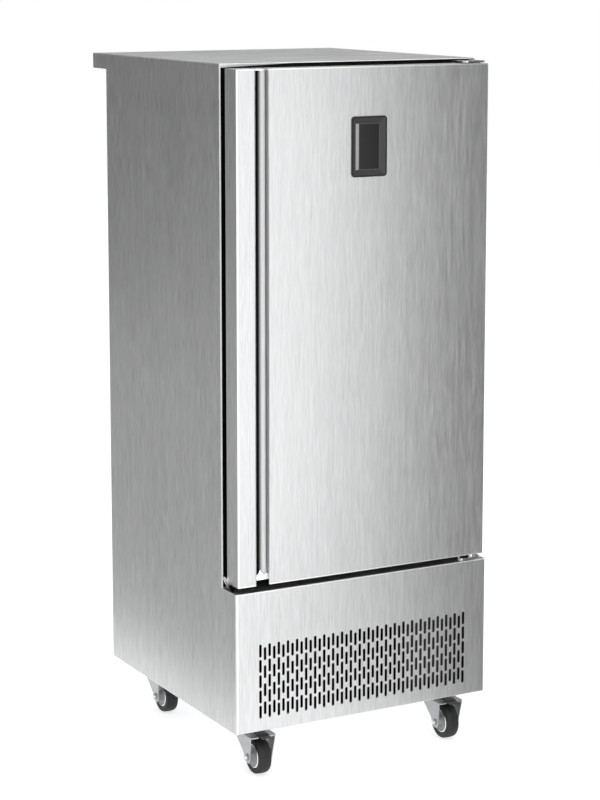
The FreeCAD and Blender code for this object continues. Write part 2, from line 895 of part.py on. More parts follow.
# ---------------------------------------------------------------- door
def skin_path():
    """Outer line of the door skin from above: left side, strip, hooked lip, scoop, face, right side."""
    end = door_rear - liner_sheet
    path = [
        (-door_half, end), (-door_half, door_front), (strip_x, door_front), (strip_x, lip_back),
        (strip_x - undercut, lip_back), (strip_x - undercut, groove_back), (groove_x, groove_back),
        (groove_x, door_front), (door_half, door_front), (door_half, end),
    ]
    radii = [0.0, fold_radius, lip_radius, lip_radius, undercut_radius, scoop_radius / 2, scoop_radius,
             fold_radius, fold_radius, 0.0]
    return path, radii


def display_box(grow, y0, y1):
    """Rounded block behind the display, grown or shrunk on every side."""
    half_w = bezel_width / 2 + grow
    half_h = bezel_height / 2 + grow
    points = rectangle(display_x - half_w, display_x + half_w, display_z - half_h, display_z + half_h)
    return prism_y(points, [max(bezel_corner + grow, smallest_corner)] * 4, y0, y1)


def door_outer_skin():
    """One folded sheet from side to side of the door, with the full-height finger groove in it."""
    path, radii = skin_path()
    points, corner_radii = sheet_band(path, radii, sheet)
    skin = prism_z(points, corner_radii, door_bottom, door_top)
    return cut(skin, [display_box(-bezel_rim, door_front - overshoot, door_front + sheet + overshoot)])


def core_outline():
    """Space inside the door skin, from above."""
    path, radii = skin_path()
    return shifted_line(path, sheet), shifted_radii(path, radii, sheet)


def door_end_plates():
    """Sheets that close the top and bottom of the door between skin and inner panel."""
    points, radii = core_outline()
    low = prism_z(points, radii, door_bottom, door_bottom + sheet)
    high = prism_z(points, radii, door_top - sheet, door_top)
    return [cut(low, bush_tools()), cut(high, bush_tools())]


def door_insulation():
    """Foam core of the door, with room for the bushes and the display."""
    points, radii = core_outline()
    core = prism_z(points, radii, door_bottom + sheet, door_top - sheet)
    pocket = display_box(pocket_gap - bezel_rim, door_front, door_front + pocket_depth)
    return cut(core, bush_tools() + [pocket])


def door_inner_panel():
    """Inner sheet of the door with the shallow plug pressed out inside the gasket."""
    face = door_rear - liner_sheet
    flat = box(-door_half, door_half, face, door_rear, door_bottom, door_top)
    half = chamber_half - plug_margin
    low = chamber_floor + plug_margin
    high = chamber_ceiling - plug_margin
    outer = box(-half, half, face, door_rear + plug_height, low, high)
    rim = [edge for edge in outer.Edges if edge.BoundBox.YMin > door_rear + plug_height - edge_tolerance]
    plug = outer.makeFillet(fold_radius, rim)
    wall = liner_sheet
    hollow_end = door_rear + plug_height - wall
    hollow = box(-half + wall, half - wall, face - overshoot, hollow_end, low + wall, high - wall)
    hollow_rim = [edge for edge in hollow.Edges if edge.BoundBox.YMin > hollow_end - edge_tolerance]
    return cut(fuse([flat, plug]), [hollow.makeFillet(fold_radius - wall, hollow_rim)])


def square_ring(half_in, half_out, low_in, low_out, high_in, high_out, y0, y1):
    """Flat rectangular ring between an inner and an outer opening."""
    outer = box(-half_out, half_out, y0, y1, low_out, high_out)
    inner = box(-half_in, half_in, y0 - overshoot, y1 + overshoot, low_in, high_in)
    return outer.cut(inner)


def door_gasket():
    """Magnetic seal: foot on the door, narrow bellows, and a head just off the frame."""
    inner = chamber_half + gasket_margin
    low = chamber_floor - gasket_margin
    high = chamber_ceiling + gasket_margin
    waist_start = door_rear + gasket_foot
    head_start = waist_start + gasket_waist
    layers = [(0.0, door_rear, waist_start), (gasket_waist_inset, waist_start, head_start),
              (gasket_head_inset, head_start, door_rear + gasket_depth)]
    rings = []
    for narrow, y0, y1 in layers:
        wide = gasket_width - narrow
        rings.append(square_ring(inner + narrow, inner + wide, low - narrow, low - wide,
                                 high + narrow, high + wide, y0, y1))
    return fuse(rings)


def handle_cap(z0, z1, ramp):
    """Block that closes the finger groove; its inner face slopes by the ramp height."""
    front = door_front + cap_front_offset
    points = [(strip_x, front), (strip_x, lip_back), (strip_x - undercut, lip_back),
              (strip_x - undercut, groove_back), (groove_x, groove_back), (groove_x, front)]
    radii = [0.0, lip_radius, undercut_radius, scoop_radius / 2, scoop_radius, 0.0]
    low = min(z0, z1 + ramp)
    high = max(z0, z1 + ramp)
    block = prism_z(points, radii, low, high)
    wedge_front = front - overshoot
    wedge_back = groove_back + overshoot
    wedge_points = [(wedge_front, z1), (wedge_back, z1 + ramp), (wedge_back, z1 + 2 * ramp),
                    (wedge_front, z1 + 2 * ramp)]
    wedge = prism_x(wedge_points, [0.0] * 4, strip_x - undercut - overshoot, groove_x + overshoot)
    return block.cut(wedge)


def handle_end_caps():
    """Bottom and top closers of the finger groove."""
    low = door_bottom + cap_bottom_offset
    bottom = handle_cap(low, low + cap_height, cap_ramp)
    top = handle_cap(door_top, door_top - top_cap_height, -top_cap_ramp)
    return [bottom, top]


# ---------------------------------------------------------------- display
def display_bezel():
    """Raised plastic frame with a sloping inner edge, and a tail that clips into the door."""
    front = door_front - bezel_proud
    frame = display_box(0.0, front, door_front)
    soft_edges = [edge for edge in frame.Edges if edge.BoundBox.YMax < front + edge_tolerance]
    frame = frame.makeFillet(bezel_edge_radius, soft_edges)
    tail = display_box(-bezel_rim - tail_clearance, door_front, door_front + bezel_tail)
    half_w = screen_width / 2
    half_h = screen_height / 2
    points = rectangle(display_x - half_w, display_x + half_w, display_z - half_h, display_z + half_h)
    opening = prism_y(points, [screen_corner] * 4, front - overshoot, door_front + bezel_tail + overshoot)
    slope = (bezel_width - screen_width) / 2 - bezel_rim
    wide = Part.Wire(outline(rectangle(display_x - half_w - slope, display_x + half_w + slope,
                                       display_z - half_h - slope, display_z + half_h + slope),
                             [slope_corner] * 4).OuterWire)
    narrow = Part.Wire(outline(points, [screen_corner] * 4).OuterWire)
    wide.Placement = Placement(Vector(0, front - slope_lead, 0), Rotation(Vector(1, 0, 0), 90))
    narrow.Placement = Placement(Vector(0, front + screen_recess, 0), Rotation(Vector(1, 0, 0), 90))
    funnel = Part.makeLoft([wide, narrow], True, True)
    return cut(fuse([frame, tail]), [opening, funnel])


def display_glass():
    """Dark touch glass that fills the opening of the bezel."""
    half_w = screen_width / 2 - glass_clearance
    half_h = screen_height / 2 - glass_clearance
    points = rectangle(display_x - half_w, display_x + half_w, display_z - half_h, display_z + half_h)
    y0 = door_front - bezel_proud + screen_recess
    return prism_y(points, [screen_corner] * 4, y0, y0 + glass_thickness)


def display_board():
    """Circuit board seated on the tail of the bezel, with its larger components."""
    y0 = door_front + bezel_tail
    half_w = bezel_width / 2 - bezel_rim - board_margin
    half_h = bezel_height / 2 - bezel_rim - board_margin
    board = box(display_x - half_w, display_x + half_w, y0, y0 + board_thickness,
                display_z - half_h, display_z + half_h)
    back = y0 + board_thickness
    parts = [board]
    chip_middle = display_x + chip_x
    can_middle = display_x + can_x
    for row in range(board_rows):
        z = display_z - half_h / 2 + row * half_h / (board_rows - 1)
        parts.append(box(chip_middle - chip_width / 2, chip_middle + chip_width / 2, back, back + chip_height,
                         z - chip_length / 2, z + chip_length / 2))
        parts.append(rod((can_middle, back, z), (can_middle, back + 2 * chip_height, z), can_radius))
    return fuse(parts)


# ---------------------------------------------------------------- fans
def fan(x, y, z, radius, depth):
    """Axial fan: a bored hub and twisted blades, spinning about a line along Y."""
    hub = rod((x, y, z), (x, y + depth, z), fan_hub_radius)
    bore = rod((x, y + fan_hub_face, z), (x, y + depth + overshoot, z), fan_shaft_radius + pin_clearance)
    parts = [hub]
    chord = radius * blade_chord
    root = fan_hub_radius - blade_root
    tip = radius - blade_tip_gap
    reach = depth / 2 - blade_side_gap
    trim = rod((0, -reach, 0), (0, reach, 0), radius)
    for index in range(fan_blades):
        blade = box(root, tip, -blade_thickness / 2, blade_thickness / 2, -chord / 2, chord / 2)
        corners = [edge for edge in blade.Edges
                   if edge.BoundBox.XMin > tip - edge_tolerance and edge.BoundBox.ZLength < edge_tolerance]
        blade = blade.makeFillet(blade_corner, corners)
        blade.rotate(Vector(0, 0, 0), Vector(1, 0, 0), blade_twist)
        blade = blade.common(trim)
        blade.rotate(Vector(0, 0, 0), Vector(0, 1, 0), index * 360.0 / fan_blades)
        parts.append(moved(blade, x, y + depth / 2, z))
    return fuse(parts).cut(bore)


def motor(x, y, z, hub_y, bar_start, bar_end, upright):
    """Fan motor with its shaft, hung on a flat bar that reaches both flanges of its housing."""
    body = rod((x, y, z), (x, y + motor_length, z), motor_radius)
    rims = [edge for edge in body.Edges if edge.BoundBox.YLength < edge_tolerance]
    body = body.makeFillet(motor_corner, rims)
    shaft = rod((x, hub_y + fan_hub_face + shaft_tip_gap, z), (x, y + overshoot, z), fan_shaft_radius)
    bar_y = y + motor_length
    half = motor_bar_width / 2
    if upright:
        bar = box(x - half, x + half, bar_y, bar_y + motor_bar_thickness, bar_start, bar_end)
    else:
        bar = box(bar_start, bar_end, bar_y, bar_y + motor_bar_thickness, z - half, z + half)
    return fuse([body, shaft, bar])


def condenser_fan():
    """Fan that draws room air through the condenser."""
    return fan(condenser_fan_x, condenser_fan_y, condenser_fan_z, condenser_fan_radius, fan_blade_depth)


def condenser_fan_motor():
    """Motor behind the condenser fan, on an upright bar between the shroud flanges."""
    return motor(condenser_fan_x, condenser_motor_y, condenser_fan_z, condenser_fan_y,
                 condenser_bottom + sheet, condenser_top - sheet, True)


def evaporator_fan(z):
    """Fan that drives cold air over the trays."""
    return fan(0.0, fan_y, z, fan_radius, fan_blade_depth)


def evaporator_fan_motors():
    """Motors of the two chamber fans, each on a bar between the panel returns."""
    reach = panel_half - sheet
    return [motor(0.0, motor_y, z, fan_y, -reach, reach, False) for z in fan_heights]


def evaporator_panel():
    """Folded panel in front of the evaporator, with two ringed fan openings."""
    back = panel_y + panel_return
    path = [(-panel_half, back), (-panel_half, panel_y), (panel_half, panel_y), (panel_half, back)]
    points, radii = sheet_band(path, [0.0, fold_radius, fold_radius, 0.0], sheet)
    panel = prism_z(points, radii, panel_bottom, panel_top)
    inner = fan_radius + fan_ring_gap
    outer = inner + sheet
    shank = screw_shank_radius + screw_clearance
    rings = []
    tools = []
    for z in fan_heights:
        rings.append(rod((0, panel_y + sheet, z), (0, panel_y + fan_ring_depth, z), outer))
        tools.append(rod((0, panel_y - overshoot, z), (0, panel_y + fan_ring_depth + overshoot, z), inner))
    for x, z in screw_places_evaporator():
        tools.append(rod((x, panel_y - overshoot, z), (x, panel_y + sheet + overshoot, z), shank))
    return cut(fuse([panel] + rings), tools)


def fan_guard(z):
    """Wire guard: rings joined by two crossing wires, standing on the panel."""
    reach = fan_radius + guard_overlap
    ring_y = panel_y - guard_wire - guard_lap
    cross_y = panel_y - guard_wire
    guard = rod((-reach, cross_y, z), (reach, cross_y, z), guard_wire)
    guard = guard.fuse(rod((0, cross_y, z - reach), (0, cross_y, z + reach), guard_wire))
    for radius in guard_rings + (reach - guard_wire,):
        ring = Part.makeTorus(radius, guard_wire, Vector(0, 0, 0), Vector(0, 1, 0))
        ring.rotate(Vector(0, 0, 0), Vector(0, 1, 0), guard_seam)
        guard = guard.fuse(moved(ring, 0, ring_y, z))
    return guard


def fan_guards():
    """Guards of the two chamber fans."""
    return [fan_guard(z) for z in fan_heights]


# ---------------------------------------------------------------- heat exchangers
def fin_comb(start, end, front, back, z0, z1):
    """Fin pack seen from above as a comb: upright fins on a thin rear web."""
    count = int((end - start - fin_thickness) // fin_pitch)
    points = [(start, back), (start, front)]
    for index in range(count):
        x = start + index * fin_pitch
        points += [(x + fin_thickness, front), (x + fin_thickness, back - coil_spine),
                   (x + fin_pitch, back - coil_spine), (x + fin_pitch, front)]
    last = start + count * fin_pitch + fin_thickness
    points += [(last, front), (last, back)]
    return prism_z(points, [0.0] * len(points), z0, z1), last


def tube_bends(x, outward, y, z0, z1, spread):
    """Half-round tube ends beside a fin pack, one above the other."""
    bends = []
    pitch = (z1 - z0) / tube_rows
    for row in range(tube_rows):
        z = z0 + row * pitch + pitch / 2
        for middle in (y - spread, y + spread):
            arc = Part.makeTorus(pitch / 4, tube_radius, Vector(x, middle, z), Vector(0, 1, 0))
            half = box(min(x, x + outward * pitch), max(x, x + outward * pitch), middle - 2 * tube_radius,
                       middle + 2 * tube_radius, z - pitch / 2, z + pitch / 2)
            bends.append(arc.common(half))
    return bends


def evaporator_coil():
    """Fin pack, end plates against the rear wall, and tube bends at both ends."""
    left = -coil_half - end_plate
    end_left = box(left, -coil_half, coil_front, chamber_back, coil_bottom, coil_top)
    comb, last = fin_comb(-coil_half, coil_half, coil_front + fin_margin, chamber_back - fin_margin,
                          coil_bottom + fin_margin, coil_top - fin_margin)
    right = last + end_plate
    end_right = box(last, right, coil_front, chamber_back, coil_bottom, coil_top)
    y = (coil_front + chamber_back) / 2
    low = coil_bottom + bend_margin
    high = coil_top - bend_margin
    bends = tube_bends(left, -1, y, low, high, coil_depth / 4)
    bends += tube_bends(right, 1, y, low, high, coil_depth / 4)
    return [comb, end_left, end_right] + bends


def condenser_coil():
    """Air-cooled coil standing in the pan just behind the grille."""
    margin = condenser_fin_margin
    comb, last = fin_comb(condenser_left + end_plate, condenser_right, condenser_front + margin,
                          condenser_back - margin, condenser_bottom + margin, condenser_top - margin)
    plates = []
    for x in (condenser_left, last):
        plates.append(box(x, x + end_plate, condenser_front, condenser_back, pan_top, condenser_top))
    y = (condenser_front + condenser_back) / 2
    low = condenser_bottom + condenser_bend_margin
    high = condenser_top - condenser_bend_margin
    bends = tube_bends(condenser_left, -1, y, low, high, condenser_depth / 4)
    bends += tube_bends(last + end_plate, 1, y, low, high, condenser_depth / 4)
    return [comb] + plates + bends


def condenser_shroud():
    """Sheet housing that ducts the condenser air to its fan."""
    right = condenser_right
    plate = box(condenser_left, right, condenser_back, condenser_back + sheet, pan_top, condenser_top)
    centre = (condenser_fan_x, condenser_fan_z)
    inner = condenser_fan_radius + fan_ring_gap
    ring = rod((centre[0], condenser_back, centre[1]),
               (centre[0], condenser_back + sheet + shroud_ring_depth, centre[1]), inner + sheet)
    hole = rod((centre[0], condenser_back - overshoot, centre[1]),
               (centre[0], condenser_back + sheet + shroud_ring_depth + overshoot, centre[1]), inner)
    top = box(condenser_left, right, condenser_back, shroud_back, condenser_top - sheet, condenser_top)
    bottom = box(condenser_left, right, condenser_back, shroud_back, condenser_bottom,
                 condenser_bottom + sheet)
    foot = box(condenser_left, right, shroud_back - sheet, shroud_back, pan_top, condenser_bottom)
    return cut(fuse([plate, ring, top, bottom, foot]), [hole])


# ---------------------------------------------------------------- machines
def compressor():
    """Hermetic compressor: domed shell, foot plate, terminal box and tube stubs."""
    shell = rod((compressor_x, compressor_y, shell_bottom - overshoot),
                (compressor_x, compressor_y, shell_top), compressor_radius)
    top_rim = [edge for edge in shell.Edges if edge.BoundBox.ZMin > shell_top - edge_tolerance]
    shell = shell.makeFillet(compressor_dome, top_rim)
    half_x = foot_plate_length / 2
    half_y = foot_plate_width / 2
    points = rectangle(compressor_x - half_x, compressor_x + half_x, compressor_y - half_y,
                       compressor_y + half_y)
    foot = prism_z(points, [foot_plate_corner] * 4, foot_bottom, shell_bottom)
    box_x = compressor_x + compressor_radius - terminal_sink
    box_z = shell_bottom + terminal_low
    terminals = box(box_x, box_x + terminal_reach, compressor_y - terminal_width / 2,
                    compressor_y + terminal_width / 2, box_z, box_z + terminal_height)
    stub = rod((compressor_x, compressor_y + compressor_radius - stub_sink, stub_z),
               (compressor_x, stub_y, stub_z), pipe_radius + stub_wall)
    return cut(fuse([shell, foot, terminals, stub]), grommet_holes())


def grommet_places():
    """Centres (x, y) of the four compressor grommets."""
    reach_x = foot_plate_length / 2 - grommet_inset
    reach_y = foot_plate_width / 2 - grommet_inset
    return [(compressor_x + sx * reach_x, compressor_y + sy * reach_y) for sx in (-1, 1) for sy in (-1, 1)]


def grommet_holes():
    """Holes in the foot plate for the necks of the grommets."""
    return [rod((x, y, foot_bottom - overshoot), (x, y, shell_bottom + overshoot), grommet_neck_radius)
            for x, y in grommet_places()]


def compressor_grommets():
    """Rubber feet between the pan and the compressor, each with a neck and a cap."""
    grommets = []
    for x, y in grommet_places():
        foot = rod((x, y, pan_top), (x, y, foot_bottom), grommet_radius)
        neck = rod((x, y, foot_bottom), (x, y, shell_bottom), grommet_neck_radius)
        cap = rod((x, y, shell_bottom), (x, y, shell_bottom + grommet_cap_height), grommet_cap_radius)
        grommets.append(fuse([foot, neck, cap]))
    return grommets


def filter_drier():
    """Filter drier lying in two saddles on the pan, with a reduced neck at each end."""
    body = rod((drier_x, drier_start, drier_z), (drier_x, drier_end, drier_z), drier_radius)
    rims = [edge for edge in body.Edges if edge.BoundBox.YLength < edge_tolerance]
    body = body.makeFillet(drier_corner, rims)
    necks = rod((drier_x, drier_start - drier_neck, drier_z), (drier_x, drier_end + drier_neck, drier_z),
                pipe_radius + drier_neck_wall)
    saddles = [box(drier_x - saddle_width / 2, drier_x + saddle_width / 2, y - saddle_depth / 2,
                   y + saddle_depth / 2, pan_top, drier_z)
               for y in (drier_start + saddle_inset, drier_end - saddle_inset)]
    return fuse([body, necks] + saddles)


def refrigerant_pipes():
    """Copper lines: compressor to condenser, condenser to drier, drier to coil and coil to compressor."""
    side_x = condenser_left - pipe_side_gap
    coil_y = (condenser_front + condenser_back) / 2
    (liquid_x, liquid_y), (suction_x, suction_y) = riser_places()
    entry = coil_bottom - riser_end_gap
    machine_high = base_top - pipe_roof_gap
    top_x = compressor_x - discharge_offset
    discharge = tube_path([(top_x, compressor_y, shell_top), (top_x, compressor_y, machine_high),
                           (side_x, compressor_y, machine_high), (side_x, coil_y, machine_high),
                           (side_x, coil_y, condenser_top - discharge_drop)], pipe_radius, pipe_bend)
    liquid_back = shroud_back + liquid_gap
    liquid = tube_path([(drier_x, drier_start - drier_neck, drier_z), (drier_x, liquid_back, drier_z),
                        (drier_x, liquid_back, drier_z + liquid_rise)], pipe_radius, pipe_bend)
    feed = tube_path([(drier_x, drier_end + drier_neck, drier_z), (drier_x, liquid_y, drier_z),
                      (liquid_x, liquid_y, drier_z + feed_rise), (liquid_x, liquid_y, entry)],
                     pipe_radius, pipe_bend)
    suction_back = suction_y + suction_run
    suction = tube_path([(compressor_x, stub_y, stub_z), (compressor_x, suction_back, stub_z),
                         (suction_x, suction_back, stub_z), (suction_x, suction_y, stub_z + suction_rise),
                         (suction_x, suction_y, entry)], pipe_radius, pipe_bend)
    return [discharge, liquid, feed, suction]


def electrical_box():
    """Switchgear box on the pan beside the condenser, with its lid."""
    x0 = electrical_x
    x1 = electrical_x + electrical_width
    y0 = front_y + electrical_front_gap
    y1 = y0 + electrical_depth
    z0 = pan_top
    case = box(x0, x1, y0, y1, z0, electrical_top)
    hollow = box(x0 + sheet, x1 - sheet, y0 + sheet, y1 - sheet, z0 + sheet, electrical_top + overshoot)
    lid = box(x0 - sheet, x1 + sheet, y0 - sheet, y1 + sheet, electrical_top, electrical_top + sheet)
    rail = box(x0 + rail_margin, x1 - rail_margin, y1 - rail_depth, y1 - sheet, z0 + rail_low,
               z0 + rail_low + rail_height)
    return [fuse([case.cut(hollow), rail]), lid]


# ---------------------------------------------------------------- chamber fittings
def tray_rack():
    """Left rack: two posts and a ladder of angle rails that carry the trays."""
    post_left = -chamber_half + seal_clearance
    post_right = post_left + rack_post
    post_top = chamber_ceiling - rack_post_gap
    posts = []
    for y in (rack_front + rack_post_inset, rack_back - rack_post_inset - rack_post):
        posts.append(box(post_left, post_right, y, y + rack_post, chamber_floor, post_top))
    rails = []
    for level in range(rack_levels):
        z = chamber_floor + rack_first + level * rack_pitch
        profile = [(post_right, z + rack_rail_height), (post_right, z),
                   (post_right + rack_rail_depth, z), (post_right + rack_rail_depth, z + rack_rail_sheet),
                   (post_right + rack_rail_sheet, z + rack_rail_sheet),
                   (post_right + rack_rail_sheet, z + rack_rail_height)]
        rails.append(prism_y(profile, [0.0] * len(profile), rack_front, rack_back))
    return posts + rails


def probe_socket():
    """Socket in the right wall where the core temperature probe plugs in."""
    flange_start = chamber_half - socket_flange
    tail_end = chamber_half + socket_length - socket_end_gap
    flange = rod((flange_start, socket_y, socket_z), (chamber_half, socket_y, socket_z), socket_radius)
    tail = rod((chamber_half, socket_y, socket_z), (tail_end, socket_y, socket_z), socket_tail_radius)
    bore = rod((flange_start - overshoot, socket_y, socket_z),
               (chamber_half + socket_bore_depth, socket_y, socket_z), socket_bore)
    return fuse([flange, tail]).cut(bore)


def cable_gland():
    """Gland for the mains lead low on the back."""
    corners = [math.radians(60 * k) for k in range(6)]
    hexagon = [(gland_x + gland_nut_radius * math.cos(corner), gland_z + gland_nut_radius * math.sin(corner))
               for corner in corners]
    nut_end = back_y + gland_nut_depth
    neck_start = back_y - gland_neck_length
    body = prism_y(hexagon, [0.0] * 6, back_y, nut_end)
    cone = Part.makeCone(gland_radius, gland_bore + gland_wall, gland_length - gland_nut_depth,
                         Vector(gland_x, nut_end, gland_z), Vector(0, 1, 0))
    neck = rod((gland_x, neck_start, gland_z), (gland_x, back_y, gland_z), gland_neck_radius)
    bore = rod((gland_x, neck_start - overshoot, gland_z),
               (gland_x, back_y + gland_length + overshoot, gland_z), gland_bore)
    return fuse([body, cone, neck]).cut(bore)


def screw(length):
    """Low domed screw along +Z: the shank goes down from the origin, the head stands on it."""
    head = rod((0, 0, 0), (0, 0, screw_head_height), screw_head_radius)
    rim = [edge for edge in head.Edges if edge.BoundBox.ZMin > screw_head_height - edge_tolerance]
    head = head.makeFillet(screw_head_corner, rim)
    return fuse([head, rod((0, 0, -length), (0, 0, 0), screw_shank_radius)])


def panel_screws():
    """All the identical sheet screws of the back, the evaporator panel and the hinge brackets."""
    upright = screw(sheet)
    rearward = upright.copy()
    rearward.rotate(Vector(0, 0, 0), Vector(1, 0, 0), -90.0)
    forward = upright.copy()
    forward.rotate(Vector(0, 0, 0), Vector(1, 0, 0), 90.0)
    screws = [moved(rearward, x, back_y, z) for x, z in screw_places_back()]
    screws += [moved(forward, x, panel_y, z) for x, z in screw_places_evaporator()]
    leg_face = frame_y - bracket_leg_sheet
    screws += [moved(forward, x, leg_face, z) for x, z in bracket_screws_top()]
    screws += [moved(upright, x, y, base_top + bracket_thickness) for x, y in bracket_screws_bottom()]
    return screws


# ---------------------------------------------------------------- casters
def caster_plate(x, y):
    """Fixed half of a caster: top plate, bearing cup and riveted kingpin."""
    half_w = plate_width / 2
    half_l = plate_length / 2
    plate_bottom = caster_height - plate_thickness
    points = rectangle(x - half_w, x + half_w, y - half_l, y + half_l)
    plate = prism_z(points, [plate_corner] * 4, plate_bottom, caster_height)
    cup_bottom = crown_top + caster_clearance
    cup = rod((x, y, cup_bottom), (x, y, plate_bottom), cup_radius)
    cup_rim = [edge for edge in cup.Edges if edge.BoundBox.ZMax < cup_bottom + edge_tolerance]
    cup = cup.makeFillet(cup_corner, cup_rim)
    head_top = crown_bottom - caster_clearance
    pin = rod((x, y, head_top), (x, y, plate_bottom), kingpin_radius)
    head = rod((x, y, head_top - kingpin_head_height), (x, y, head_top), kingpin_head)
    bolts = []
    for sx in (-1, 1):
        for sy in (-1, 1):
            bolt_x = x + sx * (half_w - plate_bolt_inset)
            bolt_y = y + sy * (half_l - plate_bolt_inset)
            bolts.append(rod((bolt_x, bolt_y, plate_bottom - plate_bolt_height),
                             (bolt_x, bolt_y, plate_bottom), plate_bolt_radius))
    return fuse([plate, cup, pin, head] + bolts)


def caster_plates():
    """The four fixed caster halves under the pan."""
    places = [(side * kingpin_x, y) for y in (kingpin_front, kingpin_rear) for side in (-1, 1)]
    return [caster_plate(x, y) for x, y in places]


def fork_leg(side):
    """One leg of the fork about the kingpin at the origin, leaning inwards to the axle."""
    foot_front = -caster_trail - leg_foot
    foot_rear = -caster_trail + leg_foot
    low = wheel_radius - leg_foot
    profile = [(leg_front_inset - crown_front, crown_top), (foot_front, low), (foot_rear, low),
               (foot_rear + leg_rear_step, wheel_radius + leg_rear_rise),
               (crown_rear, crown_top - leg_rear_drop), (crown_rear, crown_top)]
    radii = [0.0, leg_foot_radius, leg_foot_radius, leg_rear_radius, leg_rear_corner, 0.0]
    leg = prism_x(profile, radii, -leg_thickness, 0.0)
    leg.translate(Vector(0, 0, -crown_top))
    leg.rotate(Vector(0, 0, 0), Vector(0, 1, 0), leg_lean)
    leg.translate(Vector(crown_half_width, 0, crown_top - leg_sink))
    return mirrored(leg) if side < 0 else leg


def caster_fork(x, y, braked):
    """Swivelling fork: crown, two leaning legs, and pedal ears where it has a brake."""
    points = rectangle(-crown_half_width, crown_half_width, -crown_front, crown_rear)
    crown = prism_z(points, [crown_corner] * 4, crown_bottom, crown_top)
    parts = [crown]
    for side in (-1, 1):
        boss_start = side * (leg_inner + leg_boss_sink)
        parts.append(fork_leg(side))
        parts.append(rod((boss_start, -caster_trail, wheel_radius),
                         (side * axle_reach, -caster_trail, wheel_radius), axle_head_radius + leg_boss_wall))
    reach = axle_reach + overshoot
    kingpin_hole = rod((0, 0, crown_bottom - overshoot), (0, 0, crown_top + overshoot),
                       kingpin_radius + axle_clearance)
    axle_hole = rod((-reach, -caster_trail, wheel_radius), (reach, -caster_trail, wheel_radius),
                    axle_radius + pin_clearance)
    tools = [kingpin_hole, axle_hole]
    if braked:
        ear_inner = pedal_width / 2 + pedal_side_gap
        ear_outer = ear_inner + ear_thickness
        ear_front = -pedal_pivot_reach - ear_half_length
        ear_rear = -pedal_pivot_reach + ear_half_length
        for side in (-1, 1):
            near = side * ear_inner
            far = side * ear_outer
            parts.append(box(min(near, far), max(near, far), ear_front, ear_rear, crown_bottom,
                             pedal_pivot_z + ear_rise))
        reach = ear_outer + overshoot
        tools.append(rod((-reach, -pedal_pivot_reach, pedal_pivot_z),
                         (reach, -pedal_pivot_reach, pedal_pivot_z), pedal_pin_radius + axle_clearance))
        tools.append(box(-ear_inner, ear_inner, -crown_front - overshoot, ear_rear + overshoot,
                         crown_bottom - overshoot, crown_top + overshoot))
    return moved(cut(fuse(parts), tools), x, y, 0)


def brake_pedal(x, y):
    """Stepped foot pedal with its pivot pin and the shoe that bears on the tyre."""
    half = pedal_width / 2
    heel = -pedal_pivot_reach + pedal_heel
    end = -pedal_pivot_reach - pedal_length
    upper = pedal_pivot_z + pedal_thickness
    lower = pedal_pivot_z - pedal_thickness
    profile = [(heel, lower), (heel, upper), (end + pedal_step_start, upper),
               (end + pedal_step_end, upper - pedal_step), (end, upper - pedal_step),
               (end, lower - pedal_under_drop), (end + pedal_under_end, lower - pedal_under_drop),
               (end + pedal_under_start, pedal_pivot_z), (-pedal_pivot_reach - pedal_under_rear, lower)]
    radii = [pedal_small_radius, 2 * pedal_small_radius, pedal_bend_radius, pedal_bend_radius,
             pedal_tip_radius, pedal_tip_radius, pedal_bend_radius, pedal_small_radius, pedal_small_radius]
    plate = prism_x(profile, radii, -half, half)
    pin_half = half + pedal_side_gap + ear_thickness
    pin = rod((-pin_half, -pedal_pivot_reach, pedal_pivot_z), (pin_half, -pedal_pivot_reach, pedal_pivot_z),
              pedal_pin_radius)
    shoe = box(-shoe_width / 2, shoe_width / 2, -pedal_pivot_reach - shoe_depth / 2,
               -pedal_pivot_reach + shoe_depth / 2, 2 * wheel_radius + shoe_gap, pedal_pivot_z - shoe_sink)
    return moved(fuse([plate, pin, shoe]), x, y, 0)


def caster_axle(x, y):
    """Wheel bolt with its hexagon head and nut outside the fork legs."""
    reach = axle_reach
    shank = rod((-reach, 0, 0), (reach, 0, 0), axle_radius)
    corners = [math.radians(60 * k) for k in range(6)]
    hexagon = [(axle_head_radius * math.cos(corner), axle_head_radius * math.sin(corner))
               for corner in corners]
    head = prism_x(hexagon, [0.0] * 6, -reach - axle_head_height, -reach)
    nut = prism_x(hexagon, [0.0] * 6, reach, reach + axle_head_height)
    return moved(fuse([shank, head, nut]), x, y - caster_trail, wheel_radius)


def wheel_hub(x, y):
    """Wheel centre: bored boss, dished web and the rim that holds the tyre."""
    half = tyre_width / 2
    bore = axle_radius + axle_clearance
    web_half = half - hub_web_inset
    web_root = hub_boss_radius + hub_web_step
    web_end = tyre_seat_radius - hub_rim_root
    rim_radius = tyre_seat_radius - hub_rim
    points = [(-hub_half, bore), (-hub_half, hub_boss_radius), (-web_half, web_root), (-web_half, web_end),
              (-half, rim_radius), (-half, tyre_seat_radius), (half, tyre_seat_radius), (half, rim_radius),
              (web_half, web_end), (web_half, web_root), (hub_half, hub_boss_radius), (hub_half, bore)]
    return revolved_x(points, [0.0] * len(points), x, y - caster_trail, wheel_radius)


def wheel_tyre(x, y):
    """Nearly flat grey rubber tread bonded on the rim."""
    half = tyre_width / 2
    seat = tyre_seat_radius
    wall = tyre_shoulder_radius - tread_chamfer
    shoulder = half - tread_chamfer
    corners = [Vector(-shoulder, tyre_shoulder_radius, 0), Vector(-half, wall, 0), Vector(-half, seat, 0),
               Vector(half, seat, 0), Vector(half, wall, 0), Vector(shoulder, tyre_shoulder_radius, 0)]
    edges = [Part.makeLine(start, end) for start, end in zip(corners, corners[1:])]
    edges.append(Part.Arc(corners[-1], Vector(0, wheel_radius, 0), corners[0]).toShape())
    solid = Part.Face(Part.Wire(edges)).revolve(Vector(0, 0, 0), Vector(1, 0, 0), 360)
    return moved(solid, x, y - caster_trail, wheel_radius)


